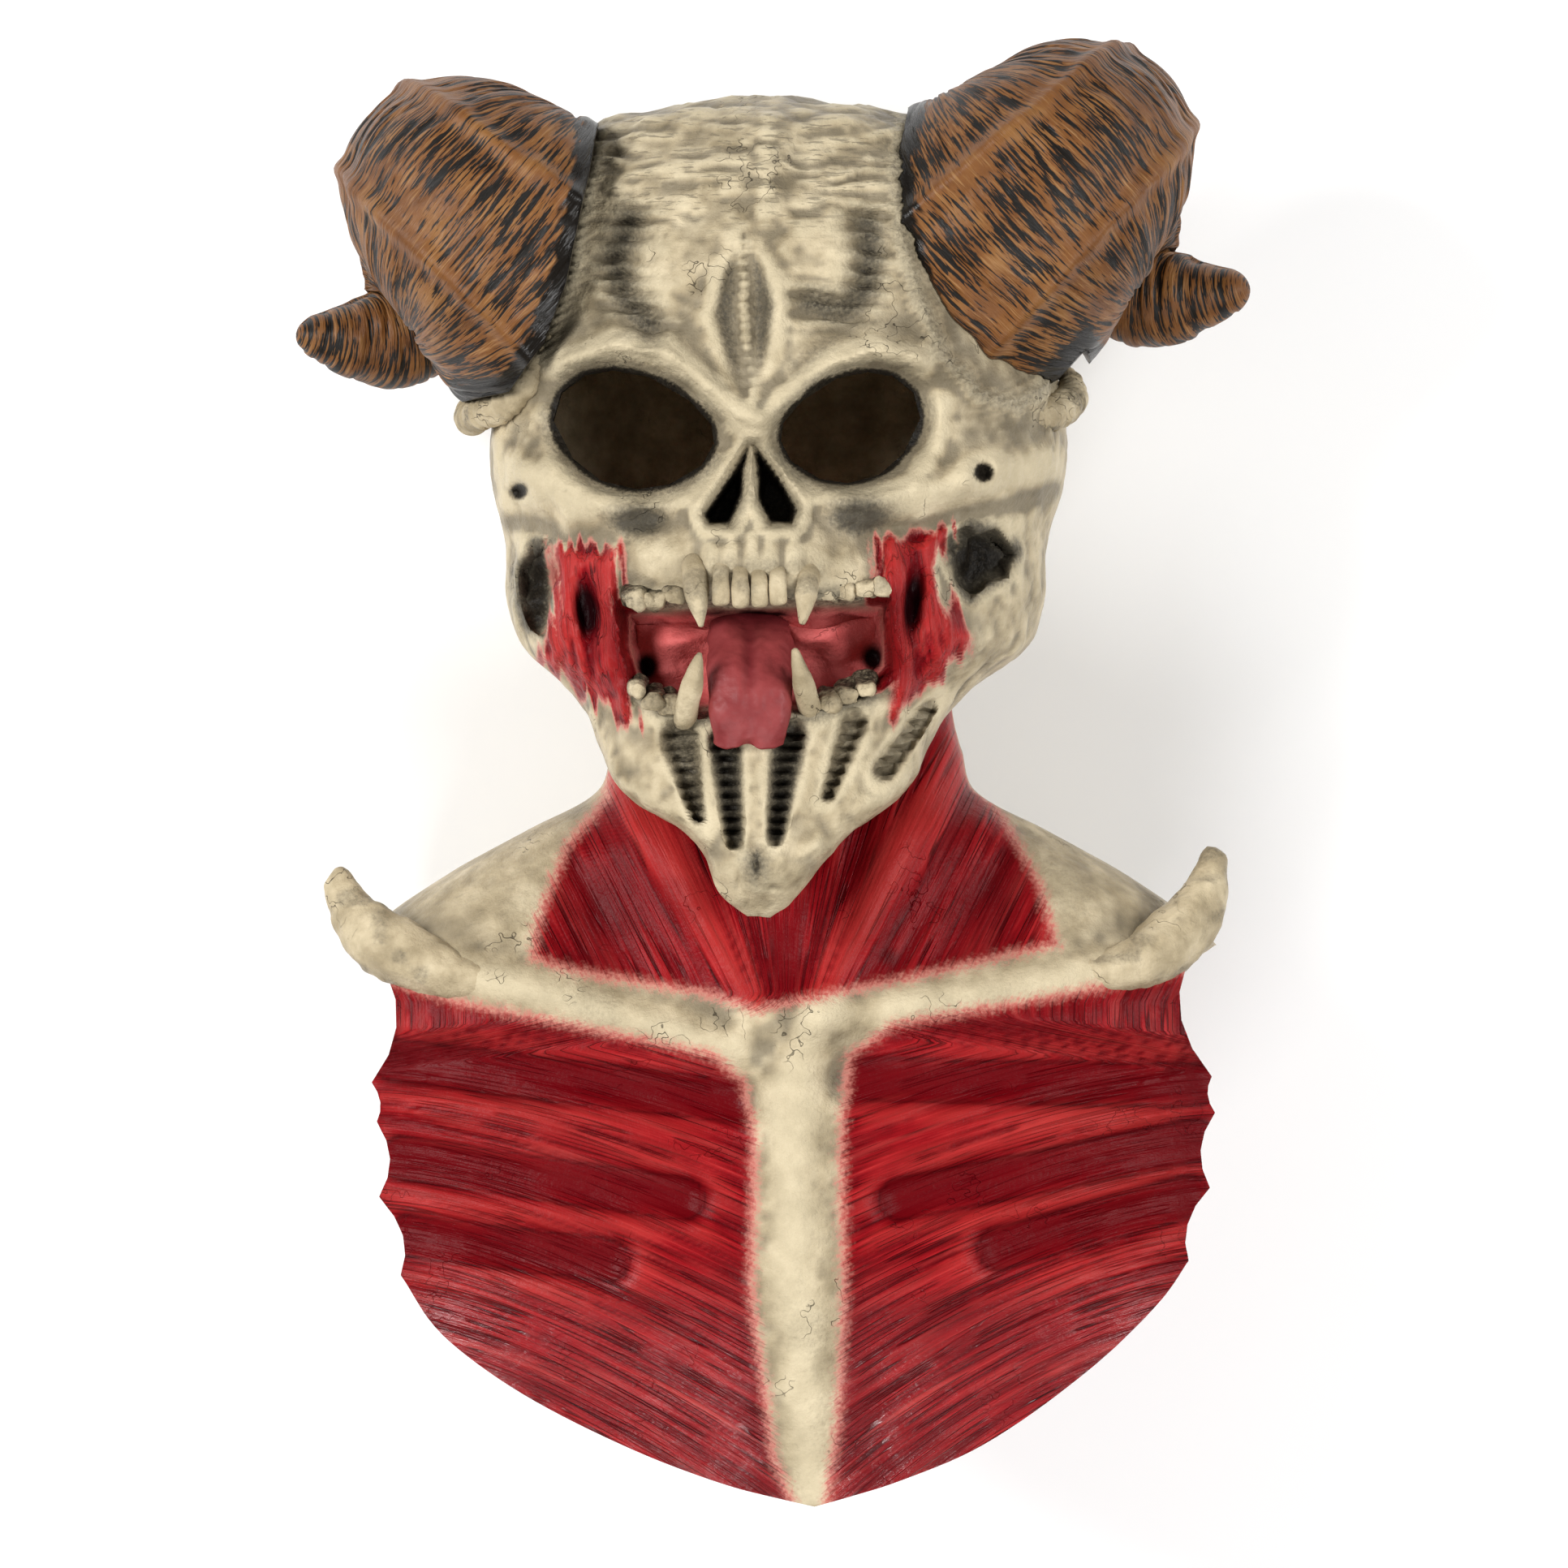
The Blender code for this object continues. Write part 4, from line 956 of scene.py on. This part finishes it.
tooth_list = []
for number, (x, y, radius) in enumerate(UPPER_INCISORS):
    path = [(x, y + 10, 214, radius * 0.7), (x, y + 5.5, 221, radius * 0.9), (x, y + 1, 224, radius),
            (x + 0.3, y - 5, 223, radius * 0.95)]
    tooth_list.append(rough_body("tooth", path, 26, 22, 0.35, number, blunt=0.12, square=3.6))
for number, (x, y, tip_x, tip_y, radius) in enumerate(FANGS):
    path = [(1.15 * x - 0.15 * tip_x, 1.15 * y - 0.15 * tip_y, 208, radius * 0.9), (x, y, 215, radius * 1.05),
            (x * 0.55 + tip_x * 0.45, y * 0.55 + tip_y * 0.45, 223, radius),
            (x * 0.15 + tip_x * 0.85, y * 0.15 + tip_y * 0.85, 225, radius * 0.5), (tip_x, tip_y, 225, 0.8)]
    tooth_list.append(rough_body("tooth", path, 34, 24, 0.35, 10 + number, blunt=0.03))
for number, (x, y, radius) in enumerate(MOLARS):
    path = [(x, y + 2, 198, radius), (x, y, 209, radius), (x, y - 1, 213.5, radius * 0.92),
            (x, y - 1, 215.5, radius * 0.7)]
    tooth_list.append(
        rough_body("tooth", path, 24, 26, 1.7, 20 + number, blunt=0.12, square=3.0, flatness=0.85))
teeth = joined("teeth", tooth_list)
spikes = joined("shoulder_spikes", [
    rough_body("spike", path, 60, 40, 0.9, seed) for path, seed in ((LEFT_SPIKE, 40), (RIGHT_SPIKE, 41))])


def collar(path, seed):
    """A rolled rim with short ticks across it."""
    points, shares, angle = path_rings(path, 110, 40)
    x, y, z = np.moveaxis(points, -1, 0)
    uneven = grain(x, y, z, 5, seed)
    ticks = np.sin(2 * math.pi * (22 * shares[:, None] + 0.5 * uneven))
    return wrapped_skin("collar", pushed_out(points, 0.35 * ticks + 0.6 * uneven))


collars = joined("horn_collars", [collar(LEFT_COLLAR, 45), collar(RIGHT_COLLAR, 46)])
for piece in (teeth, spikes, collars):
    x, y, z = layout_places(piece).T
    mottle = smooth(grain(x, y, z, 7, 3), 0, 0.5)
    # On the teeth the wash layer is painted shade, darker towards the root where they go into the gum; on the
    # spikes and collars it is a random mottle of paint.
    root = 1 - smooth(z, 208, 220) if piece is teeth else mottle * (0.3 if piece is spikes else 0.6)
    paint(piece, wash=0.75 * root, shade=0.45 * mottle, flesh=x * 0, lining=x * 0, hollow=x * 0, crest=x * 0,
          lined=x * 0)
    piece.data.materials.append(latex)
    shade(piece, 60)
    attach(piece, "root")
    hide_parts("mask_skin")


# The tongue: moulded in the same casting, a soft flat body that runs out of the red lining of the mouth and
# hangs over the lower teeth, with a hollow down its middle and a tip in two lobes. It is painted a duller rose.


def tongue_paint():
    """Rose acrylic over latex, darker in the folds and drying to a satin."""
    material, tree, shader = new_material("rose_painted_latex")
    place = add(tree, "TexCoord").outputs["Object"]
    rose = ramp(tree, noise(tree, place, 9), [(0.3, "#772A2B"), (0.7, "#8D3A3A")])
    rose = blend(tree, attribute(tree, "fold"), rose, "#5E141B")
    shader.inputs["Roughness"].default_value = 0.5
    shader.inputs["Specular IOR Level"].default_value = 0.3
    dress(shader, rose, noise(tree, place, 1.6), strength=0.4, distance=0.0004)
    return material


TONGUE_PATH = [
    (-5.5, -52, 180, 14), (-6, -64, 200, 15), (-6, -78, 215, 15.2), (-6.5, -90, 218, 14.4),
    (-6.5, -100, 215, 12.6),
]
points, shares, angle = path_rings(TONGUE_PATH, 100, 120, flatness=0.5, blunt=0.05, square=2.6)
x, y, z = np.moveaxis(points, -1, 0)
top = np.abs(np.sin(angle))[None, :]
middle = np.exp(-((x + 6) / 2.6) ** 2) * smooth(-y, 54, 60) * (1 - 0.75 * smooth(-y, 72, 84))
notch = np.exp(-((x + 7) / 2.4) ** 2) * smooth(-y, 97, 101)
uneven = 1.1 * grain(x, y, z, 8, 31) + 0.35 * grain(x, y, z, 2.4, 32)
swelling = -2.2 * middle * top + uneven - 1.8 * notch
tongue = wrapped_skin("tongue", pushed_out(points, swelling))
x, y, z = layout_places(tongue).T
fold = 0.6 * np.exp(-((x + 6) / 2.0) ** 2) * smooth(-y, 52, 60) * (1 - 0.8 * smooth(-y, 72, 84))
paint(tongue, fold=np.maximum(fold, 0.8 * (1 - smooth(-y, 52, 62))))
tongue.data.materials.append(tongue_paint())
shade(tongue, 70)
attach(tongue, "root")
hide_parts("mask_skin")


# The horns: two ram horns of painted latex, cast apart and glued into the raised lips on the skull. Growth
# lines run round them, broken and uneven, with black paint left in the furrows and brown dragged over the
# crests. Two smooth cords run down the length of each horn.
HORN_PATH = [
    (-55, 54, 112, 58), (-80, 75, 140, 56), (-102, 93, 146, 48), (-115, 104, 122, 41), (-121, 105, 94, 34),
    (-123, 88, 70, 27), (-126, 67, 60, 22.5), (-134, 53, 62, 19.5), (-151, 50, 70, 15), (-173, 52, 78, 5.5),
]
RIGHT_HORN_OUT = 4
RIGHT_HORN_LIFT = 9
RIGHT_HORN_TURN = math.radians(4)
HORN_ROWS = 500
HORN_AROUND = 190
HORN_CORDS = (math.radians(63), math.radians(121))
HORN_GAP = 0.6


def painted_horn():
    """Latex painted black and dry-brushed brown, so broken black streaks stay across the horn."""
    material, tree, shader = new_material("dry_brushed_horn_latex")
    place = add(tree, "TexCoord").outputs["Object"]
    grown = attribute(tree, "grown", "Vector")
    streak = noise(tree, grown, 1.15, detail=3, roughness=0.6, stretch=(0.001, 0.00008, 0.00008))
    patch = noise(tree, grown, 22, detail=2, stretch=(0.001, 0.0007, 0.0007))
    brown = ramp(tree, noise(tree, place, 14), [(0.3, "#5C3718"), (0.5, "#714722"), (0.72, "#82592F")])
    brown = blend(tree, soft_step(tree, streak, 0.55, 0.75), brown, "#8F683F")
    level = math_node(tree, "MULTIPLY_ADD", math_node(tree, "SUBTRACT", patch, 0.5), 0.24, streak)
    level = math_node(tree, "SUBTRACT", level, times(tree, attribute(tree, "furrow"), 0.05))
    level = math_node(tree, "MULTIPLY_ADD", attribute(tree, "cord"), 0.08, level)
    dark = soft_step(tree, level, 0.49, 0.45)
    rim = math_node(tree, "SUBTRACT", noise(tree, grown, 3, stretch=(0.001, 0.0003, 0.0003)), 0.5)
    rim = soft_step(tree, math_node(tree, "MULTIPLY_ADD", rim, 1.4, attribute(tree, "root")), 0.35, 0.65)
    vary(shader, "Roughness", rim, 0.45, 0.25)
    shader.inputs["Specular IOR Level"].default_value = 0.25
    dress(shader, blend(tree, math_node(tree, "MAXIMUM", dark, rim), brown, "#14100C"), streak)
    return material


def make_horn(name, path, cords, seed):
    points, shares, angle = path_rings(path, HORN_ROWS, HORN_AROUND, blunt=0.03, ridges=cords)
    steps = np.linalg.norm(np.diff(points, axis=0), axis=-1).max(axis=1)
    outer = np.concatenate([[0], np.cumsum(steps)])
    even = np.interp(np.linspace(0, outer[-1], HORN_ROWS), outer, shares)
    points = path_rings(path, HORN_ROWS, HORN_AROUND, blunt=0.03, ridges=cords, shares=even)[0]
    middle = points.mean(axis=1)
    along = np.linspace(0, outer[-1], HORN_ROWS)[:, None] * np.ones(len(angle))
    radius = np.linalg.norm(points[:, 0] - middle, axis=1)[:, None]
    around_x, around_y = radius * np.cos(angle), radius * np.sin(angle)
    wander = 1.6 * grain(along, around_x, around_y, (16, 14, 14), seed)
    furrows = smooth(grain(along + wander, around_x, around_y, (3, 22, 22), seed + 1), -0.1, 0.35)
    on_cord = on_ridges(angle, cords) * np.ones_like(along)
    furrows = furrows * (1 - 0.85 * on_cord)
    lumps = 1.2 * grain(along, around_x, around_y, (11, 20, 20), seed)
    height = (lumps - 0.9 * furrows) * np.minimum(1, radius / 12)
    horn = wrapped_skin(name, pushed_out(points, height))
    paint(horn, furrow=with_ends(furrows), cord=with_ends(on_cord))
    grown = np.stack([along + 500 * (seed % 7), around_x, around_y], axis=-1).reshape(-1, 3)
    lay_out(horn, "grown", np.concatenate([grown, grown[:1], grown[-1:]]))
    return horn


def face_side(lip, inward):
    """All that lies on the face's side of a lip line, where a horn ends."""
    reach = 220
    end_x = lip[-1][0] - 6 * inward
    outline = lip + [(end_x, lip[-1][1] - 14), (end_x, -reach), (inward * reach, -reach)]
    outline += [(inward * reach, reach), (lip[0][0], reach)]
    return prism("face_side", outline, -20, 320)


skull_grown = placed("skull_grown", whole_skull.data.copy())
swell = skull_grown.modifiers.new("Gap", "DISPLACE")
swell.strength = HORN_GAP * UNIT
swell.mid_level = 0
right_path = []
root_x, root_y = HORN_PATH[0][:2]
for x, y, z, radius in HORN_PATH:
    dx, dy = root_x - x, y - root_y
    turned_x = dx * math.cos(RIGHT_HORN_TURN) - dy * math.sin(RIGHT_HORN_TURN)
    turned_y = dx * math.sin(RIGHT_HORN_TURN) + dy * math.cos(RIGHT_HORN_TURN)
    right_path.append((-root_x + RIGHT_HORN_OUT + turned_x, root_y + turned_y + RIGHT_HORN_LIFT, z, radius))
horn_material = painted_horn()
right_cords = [math.pi - cord for cord in HORN_CORDS]
for name, path, cords, seed, lip, inward, rim in (
        ("horn_left_skin", HORN_PATH, HORN_CORDS, 50, LEFT_LIP, 1, LEFT_COLLAR),
        ("horn_right_skin", right_path, right_cords, 60, RIGHT_LIP, -1, RIGHT_COLLAR)):
    horn = make_horn(name, path, cords, seed)
    horn.data.materials.append(horn_material)
    end = face_side(lip, inward)
    room = wrapped_skin("room", path_rings([(x, y, z, radius + 1) for x, y, z, radius in rim], 40, 30)[0])
    cut(horn, [end, room, skull_grown])
    for spare in (end, room):
        bpy.data.objects.remove(spare, do_unlink=True)
    x, y, z = layout_places(horn).T
    paint(horn, root=1.1 * band(x, y, lip, 7) * smooth(z, 90, 130))
    shade(horn, 60)
    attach(horn, "root")
    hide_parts(name.replace("_skin", ""))
bpy.data.objects.remove(skull_grown, do_unlink=True)
bpy.data.objects.remove(whole_skull, do_unlink=True)


# The studio: a plain pale floor under soft light, seen from straight above, because the mask lies on its back
# and its face looks up. The frame is the photograph's, in pixels of 0.29 mm, with the layout's origin at
# the place given across and down it.
PIXEL = 0.29 * UNIT
FRAME_PIXELS = 1932
ORIGIN_ACROSS = 945
ORIGIN_DOWN = 576
CAMERA_HEIGHT = 4.6
FACE_HEIGHT = 200 * UNIT

bm = bmesh.new()
bmesh.ops.create_grid(bm, x_segments=8, y_segments=8, size=4)
floor = new_piece("floor", bm)
floor_material, tree, shader = new_material("pale_card")
shader.inputs["Base Color"].default_value = srgb("#FFFFFF")
shader.inputs["Roughness"].default_value = 0.9
floor.data.materials.append(floor_material)


def soft_light(name, place, size, power):
    lamp = bpy.data.lights.new(name, "AREA")
    lamp.shape = "DISK"
    lamp.size = size
    lamp.energy = power
    holder = placed(name, lamp)
    holder.location = place
    holder.rotation_euler = (Vector((0, -0.1, 0.15)) - Vector(place)).to_track_quat("-Z", "Y").to_euler()


soft_light("key", (-1.6, 0.5, 1.7), 1.0, 54)
soft_light("fill", (1.7, 0.3, 1.7), 1.1, 38)
soft_light("low", (-0.1, -1.4, 1.7), 0.9, 17)
world = bpy.data.worlds.new("studio")
world.use_nodes = True
sky = world.node_tree.nodes["Background"]
sky.inputs["Color"].default_value = (1, 1, 1, 1)
sky.inputs["Strength"].default_value = 0.22
bpy.context.scene.world = world
bpy.context.scene.view_settings.view_transform = "Standard"

lens = bpy.data.cameras.new("camera")
lens.sensor_width = 36
lens.lens = lens.sensor_width * (CAMERA_HEIGHT - FACE_HEIGHT) / (FRAME_PIXELS * PIXEL)
lens.clip_end = 20
camera = placed("camera", lens)
half_frame = FRAME_PIXELS / 2
camera.location = ((half_frame - ORIGIN_ACROSS) * PIXEL, (ORIGIN_DOWN - half_frame) * PIXEL, CAMERA_HEIGHT)
bpy.context.scene.camera = camera
